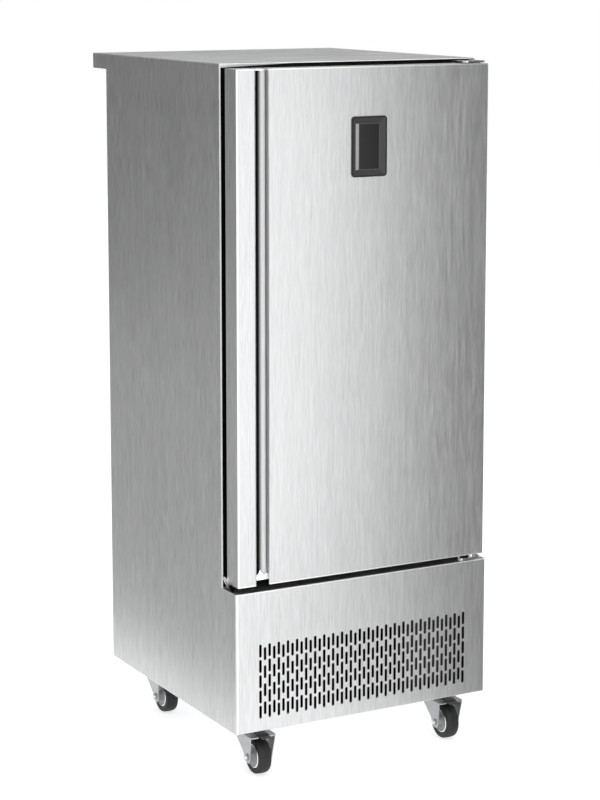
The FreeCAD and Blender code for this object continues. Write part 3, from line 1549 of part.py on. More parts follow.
# ---------------------------------------------------------------- every node by its name
nodes = {
    "left_side_panel": side_panel(),
    "right_side_panel": mirrored(side_panel()),
    "back_panel": back_panel(),
    "top_panel": top_panel(),
    "base_front_panel": base_front_panel(),
    "base_pan": base_pan(),
    "machine_deck": machine_deck(),
    "chamber_liner": chamber_liner(),
    "cabinet_insulation": cabinet_insulation(),
    "breaker_frame": breaker_frame(),
    "hinge_brackets": hinge_brackets(),
    "door_outer_skin": door_outer_skin(),
    "door_inner_panel": door_inner_panel(),
    "door_end_plates": door_end_plates(),
    "door_insulation": door_insulation(),
    "door_gasket": door_gasket(),
    "door_hinge_bushes": door_hinge_bushes(),
    "handle_end_caps": handle_end_caps(),
    "display_bezel": display_bezel(),
    "display_glass": display_glass(),
    "display_board": display_board(),
    "evaporator_coil": evaporator_coil(),
    "evaporator_panel": evaporator_panel(),
    "evaporator_fan_motors": evaporator_fan_motors(),
    "evaporator_fan_lower": evaporator_fan(fan_heights[0]),
    "evaporator_fan_upper": evaporator_fan(fan_heights[1]),
    "fan_guards": fan_guards(),
    "tray_rack_left": tray_rack(),
    "tray_rack_right": [mirrored(piece) for piece in tray_rack()],
    "probe_socket": probe_socket(),
    "condenser_coil": condenser_coil(),
    "condenser_shroud": condenser_shroud(),
    "condenser_fan": condenser_fan(),
    "condenser_fan_motor": condenser_fan_motor(),
    "compressor": compressor(),
    "compressor_grommets": compressor_grommets(),
    "filter_drier": filter_drier(),
    "refrigerant_pipes": refrigerant_pipes(),
    "electrical_box": electrical_box(),
    "cable_gland": cable_gland(),
    "panel_screws": panel_screws(),
    "caster_plates": caster_plates(),
}

for row, y in (("front", kingpin_front), ("rear", kingpin_rear)):
    for side, x in (("left", -kingpin_x), ("right", kingpin_x)):
        place = row + "_" + side
        nodes["caster_fork_" + place] = caster_fork(x, y, row == "front")
        nodes["caster_axle_" + place] = caster_axle(x, y)
        nodes["wheel_hub_" + place] = wheel_hub(x, y)
        nodes["wheel_tyre_" + place] = wheel_tyre(x, y)
        if row == "front":
            nodes["brake_pedal_" + place] = brake_pedal(x, y)

os.makedirs("parts", exist_ok=True)
for name, shape in nodes.items():
    solid = Part.makeCompound(shape) if isinstance(shape, list) else shape
    solid.exportStep("parts/" + name + ".step")
    print(name, len(solid.Solids), "solids", round(solid.Volume / 1000.0, 1), "cm3", solid.isValid())
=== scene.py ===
"""Looks of the upright blast chiller: finishes, finely made pieces, studio and camera.

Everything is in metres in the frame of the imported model: +Z up, the door faces -Y and hangs at +X.
"""
import logging
import math
from dataclasses import dataclass, field
from enum import Enum
from typing import ClassVar, Dict, Iterable, List, Optional, Sequence, Tuple

import bmesh
import bpy
from mathutils import Matrix, Vector


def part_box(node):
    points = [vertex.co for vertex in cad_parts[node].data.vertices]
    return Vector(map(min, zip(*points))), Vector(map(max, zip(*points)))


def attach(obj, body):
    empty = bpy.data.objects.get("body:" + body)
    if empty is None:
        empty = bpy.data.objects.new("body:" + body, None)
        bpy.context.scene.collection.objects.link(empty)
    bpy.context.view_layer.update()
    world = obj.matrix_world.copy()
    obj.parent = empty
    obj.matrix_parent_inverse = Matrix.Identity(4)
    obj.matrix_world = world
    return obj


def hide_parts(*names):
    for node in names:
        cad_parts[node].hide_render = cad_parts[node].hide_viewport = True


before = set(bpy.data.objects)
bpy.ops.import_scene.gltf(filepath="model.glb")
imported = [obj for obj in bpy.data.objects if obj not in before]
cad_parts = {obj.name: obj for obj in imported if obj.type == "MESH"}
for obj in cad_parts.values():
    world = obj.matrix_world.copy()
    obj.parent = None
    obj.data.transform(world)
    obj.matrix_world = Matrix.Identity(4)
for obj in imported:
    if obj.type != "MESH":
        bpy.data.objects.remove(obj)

log = logging.getLogger("blast_chiller")

Colour = Tuple[float, float, float]
Point = Tuple[float, float, float]
Profile = Sequence[Tuple[float, float]]
Span = Tuple[float, float]
Node = bpy.types.Node
Socket = bpy.types.NodeSocket
Sockets = bpy.types.bpy_prop_collection

SIDES: Tuple[str, ...] = ("left", "right")
ROWS: Tuple[str, ...] = ("front", "rear")
DUST: Colour = (0.42, 0.40, 0.37)
ZINC_DUST: Colour = (0.45, 0.43, 0.40)


class Grain(Enum):
    """Which way the brush marks of a sheet run, as noise scales along X, Y and Z."""

    UPRIGHT = (300.0, 190.0, 15.0)
    ACROSS = (32.0, 400.0, 400.0)
    DEPTH = (400.0, 32.0, 400.0)


def grey(value: float) -> Colour:
    """A neutral colour."""
    return (value, value, value)


# ---------------------------------------------------------------------------------- shader building
class Tree:
    """Short calls for laying out one node tree."""

    MIX_INPUTS: ClassVar[Tuple[int, int]] = (6, 7)
    MIX_OUTPUT: ClassVar[int] = 2

    def __init__(self, tree: bpy.types.NodeTree) -> None:
        """Wrap the node tree to fill."""
        self.tree = tree

    @property
    def surface(self) -> Sockets:
        """The inputs of the material's surface shader."""
        return self.tree.nodes["Principled BSDF"].inputs

    def add(self, kind: str, **settings: object) -> Node:
        """Add one node.

        Args:
            kind: the node's type name.
            settings: attributes to set on the node.

        Returns:
            The new node.
        """
        node = self.tree.nodes.new(kind)
        for key, value in settings.items():
            setattr(node, key, value)
        return node

    def link(self, source: Socket, target: Socket) -> None:
        """Join an output socket to an input socket."""
        self.tree.links.new(source, target)

    def feed(self, value: object, target: Socket) -> None:
        """Link the value if it is a socket, or else set it as the target's default.

        Args:
            value: a socket, a number or a colour.
            target: the input socket.
        """
        if isinstance(value, Socket):
            self.link(value, target)
        else:
            target.default_value = value

    def math(self, operation: str, first: object, second: object = 0.0,
             clamp: bool = False) -> Socket:
        """Do one sum on two values.

        Args:
            operation: the Math node's operation.
            first: a socket or a number.
            second: a socket or a number.
            clamp: whether the result stays between 0 and 1.

        Returns:
            The result's socket.
        """
        node = self.add("ShaderNodeMath", operation=operation, use_clamp=clamp)
        self.feed(first, node.inputs[0])
        self.feed(second, node.inputs[1])
        return node.outputs[0]

    def times(self, first: object, second: object, third: object = None) -> Socket:
        """The product of two or three values, each a socket or a number."""
        return self.math("MULTIPLY", first, second if third is None else self.times(second, third))

    def less(self, first: object, second: object) -> Socket:
        """The first value less the second."""
        return self.math("SUBTRACT", first, second)

    def swing(self, value: Socket, depth: Socket) -> Socket:
        """How far a value from 0 to 1 is from its middle, times a depth."""
        return self.times(self.less(value, 0.5), depth)

    def vector(self, operation: str, first: Socket, second: Socket) -> Sockets:
        """Do one sum on two vectors.

        Args:
            operation: the Vector Math node's operation.
            first: the first vector.
            second: the second vector.

        Returns:
            The node's outputs.
        """
        node = self.add("ShaderNodeVectorMath", operation=operation)
        self.link(first, node.inputs[0])
        self.link(second, node.inputs[1])
        return node.outputs

    def spread(self, value: object, low: float, high: float, start: float = 0.0,
               end: float = 1.0) -> Socket:
        """Map a value from one range onto another, held at the ends.

        Args:
            value: the socket to map.
            low: what the start becomes.
            high: what the end becomes.
            start: the value's low end.
            end: the value's high end.

        Returns:
            The mapped socket.
        """
        node = self.add("ShaderNodeMapRange")
        self.feed(value, node.inputs["Value"])
        for name, number in (("From Min", start), ("From Max", end), ("To Min", low), ("To Max", high)):
            node.inputs[name].default_value = number
        return node.outputs["Result"]

    def mix(self, amount: object, first: object, second: object, blend: str = "MIX") -> Socket:
        """Mix two colours.

        Args:
            amount: a socket or a number from 0 to 1.
            first: the colour at 0.
            second: the colour at 1.
            blend: the Mix node's blend type.

        Returns:
            The mixed colour's socket.
        """
        node = self.add("ShaderNodeMix", data_type="RGBA", blend_type=blend)
        self.feed(amount, node.inputs["Factor"])
        for value, index in zip((first, second), self.MIX_INPUTS):
            self.feed(value + (1.0,) if isinstance(value, tuple) else value, node.inputs[index])
        return node.outputs[self.MIX_OUTPUT]

    def tint(self, colour: Colour, shade: Socket) -> Socket:
        """Darken or brighten a colour.

        Args:
            colour: the plain colour.
            shade: the number it is multiplied by.

        Returns:
            The shaded colour's socket.
        """
        node = self.add("ShaderNodeCombineColor")
        for socket in node.inputs:
            self.link(shade, socket)
        return self.mix(1.0, colour, node.outputs[0], "MULTIPLY")

    def place(self) -> Socket:
        """The surface point in the model's own frame."""
        return self.add("ShaderNodeTexCoord").outputs["Object"]

    def axes(self, where: Optional[Socket] = None) -> Sockets:
        """Split a vector.

        Args:
            where: the vector, or None for the surface point.

        Returns:
            Its X, Y and Z sockets.
        """
        node = self.add("ShaderNodeSeparateXYZ")
        self.link(self.place() if where is None else where, node.inputs[0])
        return node.outputs

    def noise(self, where: object, scale: float, detail: float, rough: float = 0.5) -> Socket:
        """Noise between 0 and 1.

        Args:
            where: the vector socket it is read at.
            scale: its scale.
            detail: its octaves.
            rough: how much the fine octaves count.

        Returns:
            The noise's value socket.
        """
        node = self.add("ShaderNodeTexNoise")
        self.link(where, node.inputs["Vector"])
        node.inputs["Scale"].default_value = scale
        node.inputs["Detail"].default_value = detail
        node.inputs["Roughness"].default_value = rough
        return node.outputs[0]


class Effect:
    """A shader node group with named inputs and outputs, built once and used by many finishes."""

    made: Dict[str, bpy.types.NodeTree] = {}

    @classmethod
    def start(cls, name: str, inputs: Dict[str, object],
              outputs: Sequence[str]) -> Tuple[Tree, Sockets, Sockets]:
        """Begin a group.

        Args:
            name: the group's name.
            inputs: input names with their default number or vector.
            outputs: names of the number outputs.

        Returns:
            The tree to fill, the sockets of its given values and those of its results.
        """
        group = bpy.data.node_groups.new(name, "ShaderNodeTree")
        for label, value in inputs.items():
            kind = "NodeSocketVector" if isinstance(value, tuple) else "NodeSocketFloat"
            group.interface.new_socket(name=label, in_out="INPUT", socket_type=kind).default_value = value
        for label in outputs:
            group.interface.new_socket(name=label, in_out="OUTPUT", socket_type="NodeSocketFloat")
        tree = Tree(group)
        return tree, tree.add("NodeGroupInput").outputs, tree.add("NodeGroupOutput").inputs

    @classmethod
    def use(cls, tree: Tree, name: str, **values: object) -> Sockets:
        """Place a group in a material.

        Args:
            tree: the material's tree.
            name: the group's name.
            values: input values by the input's name in small letters.

        Returns:
            The group's outputs, which are read by name.
        """
        if name not in cls.made:
            cls.made[name] = getattr(cls, name)()
        node = tree.add("ShaderNodeGroup")
        node.node_tree = cls.made[name]
        for label, value in values.items():
            tree.feed(value, node.inputs[label.capitalize()])
        return node.outputs

    @classmethod
    def brushing(cls) -> bpy.types.NodeTree:
        """Fine parallel brush marks in rolled sheet: brightness, gloss and height."""
        tree, given, out = cls.start("Brush marks", {"Stretch": (500.0, 500.0, 3.0), "Depth": 1.0},
                                     ("Shade", "Gloss", "Height"))
        where = tree.vector("MULTIPLY", tree.place(), given["Stretch"])[0]
        fine = tree.noise(where, 1.0, 3.0, 0.7)
        broad = tree.noise(where, 0.21, 4.0, 0.65)
        both = tree.math("ADD", tree.times(fine, 0.74), tree.times(broad, 0.26))
        swing = tree.swing(both, given["Depth"])
        tree.link(tree.math("ADD", 1.0, swing), out["Shade"])
        tree.link(tree.math("ADD", 0.5, swing, clamp=True), out["Gloss"])
        tree.link(both, out["Height"])
        return tree.tree

    @classmethod
    def clouding(cls) -> bpy.types.NodeTree:
        """Slow uneven patches, as rolled sheet and moulded parts have: a value about 1 and a mask."""
        tree, given, out = cls.start("Clouding", {"Stretch": grey(3.0), "Depth": 0.1}, ("Shade", "Mask"))
        where = tree.vector("MULTIPLY", tree.place(), given["Stretch"])[0]
        patches = tree.noise(where, 1.0, 3.0, 0.5)
        tree.link(tree.math("ADD", 1.0, tree.swing(patches, given["Depth"])), out["Shade"])
        tree.link(tree.spread(patches, 0.0, 1.0, 0.35, 0.65), out["Mask"])
        return tree.tree

    @classmethod
    def edge_highlight_and_wear(cls) -> bpy.types.NodeTree:
        """Mask of the folds and cut edges: steel and zinc use it for a painted highlight, plastics for paler
        worn edges.
        """
        tree, given, out = cls.start("Edge highlight and wear", {"Radius": 0.0015, "Gain": 4.0}, ("Mask",))
        soft = tree.add("ShaderNodeBevel", samples=4)
        tree.link(given["Radius"], soft.inputs["Radius"])
        flat = tree.add("ShaderNodeNewGeometry").outputs["True Normal"]
        facing = tree.vector("DOT_PRODUCT", soft.outputs[0], flat)["Value"]
        bent = tree.less(1.0, facing)
        tree.link(tree.math("MULTIPLY", bent, given["Gain"], clamp=True), out["Mask"])
        return tree.tree

    @classmethod
    def pebble(cls) -> bpy.types.NodeTree:
        """Fine moulded texture of plastic and rubber: height and gloss."""
        tree, given, out = cls.start("Pebble", {"Scale": 900.0, "Depth": 1.0}, ("Height", "Gloss"))
        grains = tree.add("ShaderNodeTexVoronoi", feature="SMOOTH_F1")
        where = tree.place()
        tree.link(where, grains.inputs["Vector"])
        tree.link(given["Scale"], grains.inputs["Scale"])
        tree.link(tree.times(grains.outputs["Distance"], given["Depth"]), out["Height"])
        tree.link(tree.noise(where, 35.0, 4.0, 0.6), out["Gloss"])
        return tree.tree

    @classmethod
    def spangle(cls) -> bpy.types.NodeTree:
        """Crystal facets of zinc: brightness and gloss per facet."""
        tree, given, out = cls.start("Zinc spangle", {"Scale": 160.0, "Depth": 0.2}, ("Shade", "Gloss"))
        facets = tree.add("ShaderNodeTexVoronoi", feature="F1")
        tree.link(tree.place(), facets.inputs["Vector"])
        tree.link(given["Scale"], facets.inputs["Scale"])
        tone = tree.add("ShaderNodeSeparateColor")
        tree.link(facets.outputs["Color"], tone.inputs[0])
        tree.link(tree.math("ADD", 1.0, tree.swing(tone.outputs[0], given["Depth"])), out["Shade"])
        tree.link(tone.outputs[1], out["Gloss"])
        return tree.tree

    @classmethod
    def dusting(cls) -> bpy.types.NodeTree:
        """Thin dust that settles on faces which look up."""
        tree, given, out = cls.start("Settled dust", {"Amount": 0.3}, ("Mask",))
        normal = tree.axes(tree.add("ShaderNodeNewGeometry").outputs["Normal"])
        up = tree.spread(normal["Z"], 0.0, 1.0, 0.35, 0.95)
        patches = tree.spread(tree.noise(tree.place(), 55.0, 5.0, 0.65), 0.15, 1.0, 0.35, 0.7)
        tree.link(tree.times(tree.times(up, patches), given["Amount"]), out["Mask"])
        return tree.tree

    @classmethod
    def fins(cls) -> bpy.types.NodeTree:
        """Close-set upright fins across X: shade between them and height."""
        tree, given, out = cls.start("Fin stack", {"Pitch": 0.002}, ("Shade", "Height"))
        wave = tree.math("PINGPONG", tree.math("DIVIDE", tree.axes()["X"], given["Pitch"]), 0.5)
        tree.link(tree.spread(wave, 0.35, 1.0, 0.0, 0.3), out["Shade"])
        tree.link(wave, out["Height"])
        return tree.tree


# ---------------------------------------------------------------------------------- finishes
def new_material(name: str) -> Tuple[bpy.types.Material, Tree]:
    """A material with nodes, and the tree to lay them out in."""
    material = bpy.data.materials.new(name)
    material.use_nodes = True
    return material, Tree(material.node_tree)


class Finish:
    """Something that can colour a surface. A finish makes its material once."""

    made: Dict[str, bpy.types.Material] = {}
    name: str

    def material(self) -> bpy.types.Material:
        """The finish's material, made when first asked for.

        Returns:
            The material.
        """
        if self.name not in Finish.made:
            Finish.made[self.name], tree = new_material(self.name)
            self.lay(tree)
        return Finish.made[self.name]

    def lay(self, tree: Tree) -> None:
        """Wire the finish's nodes to the surface shader in the material's tree."""
        raise NotImplementedError

    def marked(self, tree: Tree, colour: Socket) -> Socket:
        """The colour with whatever changes it in places; a plain surface has nothing."""
        return colour

    def coat(self, tree: Tree, colour: Socket, rough: Socket, height: Socket, depth: float) -> None:
        """Join colour, roughness and relief to the surface shader.

        Args:
            tree: the material's tree.
            colour: the surface's colour before its marks.
            rough: its roughness.
            height: its relief's height.
            depth: how deep the relief is, in metres.
        """
        bump = tree.add("ShaderNodeBump")
        bump.inputs["Distance"].default_value = depth
        bump.inputs["Strength"].default_value = 1.0
        tree.link(height, bump.inputs["Height"])
        tree.link(bump.outputs[0], tree.surface["Normal"])
        tree.link(self.marked(tree, colour), tree.surface["Base Color"])
        tree.link(rough, tree.surface["Roughness"])


@dataclass(frozen=True)
class BrushedSteel(Finish):
    """Stainless sheet with a brushed face, soft rolling clouds and a painted highlight along its folds and
    edges that can fade towards +X.
    """

    name: str
    colour: Colour
    grain: Grain
    gloss: Span = (0.32, 0.44)
    marks: float = 0.55
    clouds: float = 0.10
    cloud_stretch: Point = (3.0, 3.0, 1.2)
    edge_highlight: float = 0.5
    edge_width: float = 0.0024
    far_edge_highlight: float = 1.0
    depth: float = 0.00002
    edge_reach: ClassVar[Span] = (-0.30, 0.36)
    edge_highlight_colour: ClassVar[Colour] = grey(0.98)

    def lay(self, tree: Tree) -> None:
        """Wire brush marks, clouds and the painted edge highlight.

        Args:
            tree: the material's tree.
        """
        tree.surface["Metallic"].default_value = 1.0
        brushing = Effect.use(tree, "brushing", stretch=self.grain.value, depth=self.marks)
        clouding = Effect.use(tree, "clouding", stretch=self.cloud_stretch, depth=self.clouds)
        edge_mask = Effect.use(tree, "edge_highlight_and_wear", radius=self.edge_width)
        sheet = tree.tint(self.colour, tree.times(brushing["Shade"], clouding["Shade"]))
        # painted highlight: edges are brightened towards white, weaker towards +X when the far-edge value is
        # below 1
        along = tree.spread(tree.axes()["X"], 1.0, self.far_edge_highlight, *self.edge_reach)
        bright = tree.mix(tree.times(edge_mask["Mask"], along, self.edge_highlight), sheet, self.edge_highlight_colour)
        rough = tree.spread(brushing["Gloss"], *self.gloss, 0.3, 0.7)
        self.coat(tree, bright, rough, brushing["Height"], self.depth)


@dataclass(frozen=True)
class FoldHighlight:
    """A painted white highlight along a front sheet's left, top and bottom folds."""

    left: float
    low: float
    high: float
    face: float
    width: ClassVar[float] = 0.0046
    thickness: ClassVar[float] = 0.0030
    depth: ClassVar[float] = 0.0025

    def over(self, tree: Tree, colour: Socket) -> Socket:
        """Paint a white highlight on the sheet along its folds.

        Args:
            tree: the material's tree.
            colour: the sheet's colour.

        Returns:
            The colour with the line.
        """
        at = tree.axes()
        rise = tree.math("MINIMUM", tree.less(at["Z"], self.low), tree.less(self.high, at["Z"]))
        beside = tree.math("MAXIMUM", tree.math("LESS_THAN", tree.less(at["X"], self.left), self.width),
                           tree.math("LESS_THAN", rise, self.thickness))
        on_face = tree.math("LESS_THAN", at["Y"], self.face + self.depth)
        # painted highlight: white over the fold bands on the front face
        return tree.mix(tree.times(beside, on_face), colour, grey(1.0))


@dataclass(frozen=True)
class DoorSteel(BrushedSteel):
    """The door's skin: brushed steel with painted shadow inside the finger groove and a painted highlight
    along its folds.
    """

    painted_shadow_fade: Span = (-0.3205, -0.3050)
    groove_face: float = -0.4505
    face_blur: float = 0.0008
    foot: Span = (0.5600, 0.5650)
    span: Span = (-0.3550, -0.2960)
    painted_shadow_colour: Colour = grey(0.004)
    folds: FoldHighlight = FoldHighlight(-0.3926, 0.5495, 1.9430, -0.4546)

    def marked(self, tree: Tree, colour: Socket) -> Socket:
        """Paint shadow into the undercut beside the lip, fading into the groove, and into the groove's foot.

        Args:
            tree: the material's tree.
            colour: the clean sheet's colour.

        Returns:
            The marked colour.
        """
        at = tree.axes()
        inside = tree.spread(at["Y"], 0.0, 1.0, self.groove_face, self.groove_face + self.face_blur)
        fade = tree.add("ShaderNodeMapRange", interpolation_type="SMOOTHSTEP")
        tree.link(at["X"], fade.inputs["Value"])
        for name, value in zip(("From Min", "From Max", "To Min", "To Max"), self.painted_shadow_fade + (1.0, 0.0)):
            fade.inputs[name].default_value = value
        past_left = tree.math("GREATER_THAN", at["X"], self.span[0])
        short_of_right = tree.math("LESS_THAN", at["X"], self.span[1])
        foot = tree.spread(at["Z"], 1.0, 0.0, *self.foot)
        # painted shadow: this mask is the shade under the lip and below the bottom closer
        film = tree.times(tree.times(inside, past_left, short_of_right),
                          tree.math("MAXIMUM", fade.outputs["Result"], foot))
        return tree.mix(film, self.folds.over(tree, colour), self.painted_shadow_colour)


@dataclass(frozen=True)
class SlotColumn:
    """One kind of slot column: its lowest slot's foot, its step and its number of slots."""

    first: float
    step: float
    rows: int
    length: ClassVar[float] = 0.0350

    @property
    def centre(self) -> float:
        """Height of the lowest slot's middle."""
        return self.first + self.length / 2

    @property
    def half(self) -> float:
        """Half the height that the column's slots cover."""
        return (self.step * (self.rows - 1) + self.length) / 2


@dataclass(frozen=True)
class GrilleSteel(BrushedSteel):
    """The base front: brushed steel with painted shade in its slots, on a rim round each and behind them, and
    a painted highlight along its folds.
    """

    pitch: float = 0.0142
    half_width: float = 0.3337
    slot_radius: float = 0.0032
    rim: float = 0.0009
    blur: float = 0.0002
    slot_shade_colour: Colour = grey(0.003)
    long_column: SlotColumn = SlotColumn(0.1765, 0.0432, 5)
    short_column: SlotColumn = SlotColumn(0.1870, 0.0510, 4)
    folds: FoldHighlight = FoldHighlight(-0.3988, 0.0, 0.5330, -0.4564)

    def marked(self, tree: Tree, colour: Socket) -> Socket:
        """Paint shade on whatever lies within each slot's outline and rim, seen from the front, and add the
        fold highlight.

        Args:
            tree: the material's tree.
            colour: the clean sheet's colour.

        Returns:
            The marked colour.
        """
        at = tree.axes()
        x, half_pitch, half_length = at["X"], self.pitch / 2, SlotColumn.length / 2
        is_long = tree.math("GREATER_THAN", tree.math("PINGPONG", x, self.pitch), half_pitch)

        def pick(name: str) -> Socket:
            """The value that the column at this place has."""
            short, long = getattr(self.short_column, name), getattr(self.long_column, name)
            return tree.math("ADD", short, tree.times(is_long, long - short))

        from_centre = tree.less(at["Z"], pick("centre"))
        along = tree.math("PINGPONG", from_centre, tree.times(pick("step"), 0.5))
        beyond = tree.math("MAXIMUM", tree.less(along, half_length - self.slot_radius), 0.0)
        across = tree.math("PINGPONG", x, half_pitch)
        squares = tree.math("ADD", tree.times(across, across), tree.times(beyond, beyond))
        reach = self.slot_radius + self.rim
        slot = tree.spread(tree.math("SQRT", squares), 1.0, 0.0, reach - self.blur, reach + self.blur)
        middle = tree.less(tree.math("ADD", from_centre, half_length), pick("half"))
        within = tree.math("LESS_THAN", tree.math("ABSOLUTE", middle),
                           tree.math("ADD", pick("half"), self.rim))
        beside = tree.math("LESS_THAN", tree.math("ABSOLUTE", x), self.half_width)
        # painted shade over the slots and their rims, under the fold highlight
        return tree.mix(tree.times(slot, within, beside), self.folds.over(tree, colour), self.slot_shade_colour)


@dataclass(frozen=True)
class GuardSteel(BrushedSteel):
    """The corner guard: bright at the body, with painted shade that deepens towards the ledge's front."""

    fade: Span = (-0.4120, -0.3860)
    painted_shade_colour: Colour = grey(0.006)

    def marked(self, tree: Tree, colour: Socket) -> Socket:
        """Paint shade on the guard, deepening towards its front end."""
        return tree.mix(tree.spread(tree.axes()["Y"], 1.0, 0.0, *self.fade), colour, self.painted_shade_colour)


@dataclass(frozen=True)
class RoofSteel(BrushedSteel):
    """The roof: brushed steel with painted shadow along the face of its front lip, thinning out to the left.
    """

    front: float = -0.3708
    lip: Span = (1.9450, 1.9530)
    taper: Span = (-0.3900, -0.1800)
    blur: float = 0.0008
    painted_shade_colour: Colour = grey(0.010)

    def marked(self, tree: Tree, colour: Socket) -> Socket:
        """Paint shadow on the lip's front face up to a line that climbs to the right.

        Args:
            tree: the material's tree.
            colour: the clean sheet's colour.

        Returns:
            The marked colour.
        """
        at = tree.axes()
        line = tree.spread(at["X"], *self.lip, *self.taper)
        below = tree.spread(tree.less(at["Z"], line), 1.0, 0.0, -self.blur, self.blur)
        ahead = tree.math("LESS_THAN", at["Y"], self.front)
        return tree.mix(tree.times(below, ahead), colour, self.painted_shade_colour)


@dataclass(frozen=True)
class ZincPlate(Finish):
    """Bright zinc plating or galvanised sheet with faint crystal facets, settled dust and a painted highlight
    along its edges.
    """

    name: str
    colour: Colour
    facet_scale: float = 220.0
    facets: float = 0.12
    gloss: Span = (0.28, 0.45)
    dust: float = 0.15
    edge_highlight: ClassVar[float] = 0.4
    edge_highlight_colour: ClassVar[Colour] = grey(0.95)
    depth: ClassVar[float] = 0.00002

    def lay(self, tree: Tree) -> None:
        """Wire facets, the painted edge highlight and dust.

        Args:
            tree: the material's tree.
        """
        spangle = Effect.use(tree, "spangle", scale=self.facet_scale, depth=self.facets)
        clouding = Effect.use(tree, "clouding", stretch=grey(25.0), depth=0.2)
        dusting = Effect.use(tree, "dusting", amount=self.dust)
        edge_mask = Effect.use(tree, "edge_highlight_and_wear", radius=0.001)
        plate = tree.tint(self.colour, tree.times(spangle["Shade"], clouding["Shade"]))
        # painted highlight: edges brightened towards pale grey
        bright = tree.mix(tree.times(edge_mask["Mask"], self.edge_highlight), plate, self.edge_highlight_colour)
        tree.link(tree.less(1.0, dusting["Mask"]), tree.surface["Metallic"])
        self.coat(tree, tree.mix(dusting["Mask"], bright, ZINC_DUST),
                  tree.spread(spangle["Gloss"], *self.gloss), clouding["Mask"], self.depth)


@dataclass(frozen=True)
class MouldedPlastic(Finish):
    """Injection-moulded plastic or rubber with a fine pebble, worn paler at its edges."""

    name: str
    colour: Colour
    gloss: Span = (0.40, 0.55)
    pebble: float = 900.0
    wear: float = 0.15
    dust: float = 0.0
    specular: float = 0.5
    depth: ClassVar[float] = 0.00003
    worn_gain: ClassVar[float] = 1.8
    worn_lift: ClassVar[float] = 0.05

    def lay(self, tree: Tree) -> None:
        """Wire the pebble, uneven colour, worn edges and dust.

        Args:
            tree: the material's tree.
        """
        tree.surface["Specular IOR Level"].default_value = self.specular
        pebble = Effect.use(tree, "pebble", scale=self.pebble)
        clouding = Effect.use(tree, "clouding", stretch=grey(18.0), depth=0.25)
        edge_mask = Effect.use(tree, "edge_highlight_and_wear", radius=0.0008)
        pale = tuple(min(1.0, channel * self.worn_gain + self.worn_lift) for channel in self.colour)
        plain = tree.tint(self.colour, clouding["Shade"])
        worn = tree.mix(tree.times(edge_mask["Mask"], self.wear), plain, pale)
        if self.dust > 0:
            worn = tree.mix(Effect.use(tree, "dusting", amount=self.dust)["Mask"], worn, DUST)
        rough = tree.spread(pebble["Gloss"], *self.gloss, 0.3, 0.7)
        self.coat(tree, worn, rough, pebble["Height"], self.depth)


@dataclass(frozen=True)
class BezelPlastic(MouldedPlastic):
    """Display bezel: moulded frame whose outer rim is a darker soft edge."""

    middle: Span = (0.0092, 1.7275)
    half: Span = (0.0545, 0.0820)
    rim: float = 0.0048
    blur: Span = (-0.0006, 0.0008)
    rim_colour: Colour = grey(0.004)

    def marked(self, tree: Tree, colour: Socket) -> Socket:
        """Darken the band along the outline.

        Args:
            tree: the material's tree.
            colour: the frame's colour.

        Returns:
            The marked colour.
        """
        at = tree.axes()
        spans = [tree.less(tree.math("ABSOLUTE", tree.less(at[axis], middle)), half - self.rim)
                 for axis, middle, half in zip("XZ", self.middle, self.half)]
        edge = tree.spread(tree.math("MAXIMUM", *spans), 0.0, 1.0, *self.blur)
        return tree.mix(edge, colour, self.rim_colour)


@dataclass(frozen=True)
class PaintedMetal(Finish):
    """Sprayed enamel with a slight orange peel."""

    name: str
    colour: Colour
    dust: float = 0.2
    gloss: ClassVar[Span] = (0.30, 0.42)
    peel: ClassVar[float] = 0.00006

    def lay(self, tree: Tree) -> None:
        """Wire orange peel, uneven tone and dust.

        Args:
            tree: the material's tree.
        """
        tree.surface["Coat Weight"].default_value = 0.3
        tree.surface["Coat Roughness"].default_value = 0.2
        clouding = Effect.use(tree, "clouding", stretch=grey(14.0), depth=0.2)
        dusting = Effect.use(tree, "dusting", amount=self.dust)
        paint = tree.mix(dusting["Mask"], tree.tint(self.colour, clouding["Shade"]), DUST)
        self.coat(tree, paint, tree.spread(clouding["Mask"], *self.gloss),
                  tree.noise(tree.place(), 420.0, 2.0), self.peel)


@dataclass(frozen=True)
class CoilAluminium(Finish):
    """Aluminium fin stock with close-set edges and uneven tone."""

    name: str
    colour: Colour

    def lay(self, tree: Tree) -> None:
        """Wire the fin lines.

        Args:
            tree: the material's tree.
        """
        tree.surface["Metallic"].default_value = 0.9
        fins = Effect.use(tree, "fins", pitch=0.002)
        clouding = Effect.use(tree, "clouding", stretch=grey(9.0), depth=0.4)
        metal = tree.tint(self.colour, tree.times(fins["Shade"], clouding["Shade"]))
        self.coat(tree, metal, tree.spread(clouding["Mask"], 0.35, 0.55), fins["Height"], 0.0003)


@dataclass(frozen=True)
class DrawnCopper(Finish):
    """Copper tube, bright along its length with brown handling marks."""

    name: str
    colour: Colour = (0.72, 0.38, 0.24)
    tarnish: Colour = (0.42, 0.22, 0.14)

    def lay(self, tree: Tree) -> None:
        """Wire tarnish patches.

        Args:
            tree: the material's tree.
        """
        tree.surface["Metallic"].default_value = 1.0
        patches = Effect.use(tree, "clouding", stretch=grey(22.0), depth=0.3)["Mask"]
        self.coat(tree, tree.mix(patches, self.colour, self.tarnish), tree.spread(patches, 0.25, 0.45),
                  tree.noise(tree.place(), 700.0, 2.0), 0.00002)


@dataclass(frozen=True)
class CellFoam(Finish):
    """Poured foam: pale, matt and finely pitted."""

    name: str
    colour: Colour = (0.78, 0.70, 0.46)

    def lay(self, tree: Tree) -> None:
        """Wire the cells.

        Args:
            tree: the material's tree.
        """
        pebble = Effect.use(tree, "pebble", scale=420.0)
        clouding = Effect.use(tree, "clouding", stretch=grey(8.0), depth=0.25)
        self.coat(tree, tree.tint(self.colour, clouding["Shade"]), tree.spread(pebble["Gloss"], 0.8, 0.95),
                  pebble["Height"], 0.0004)


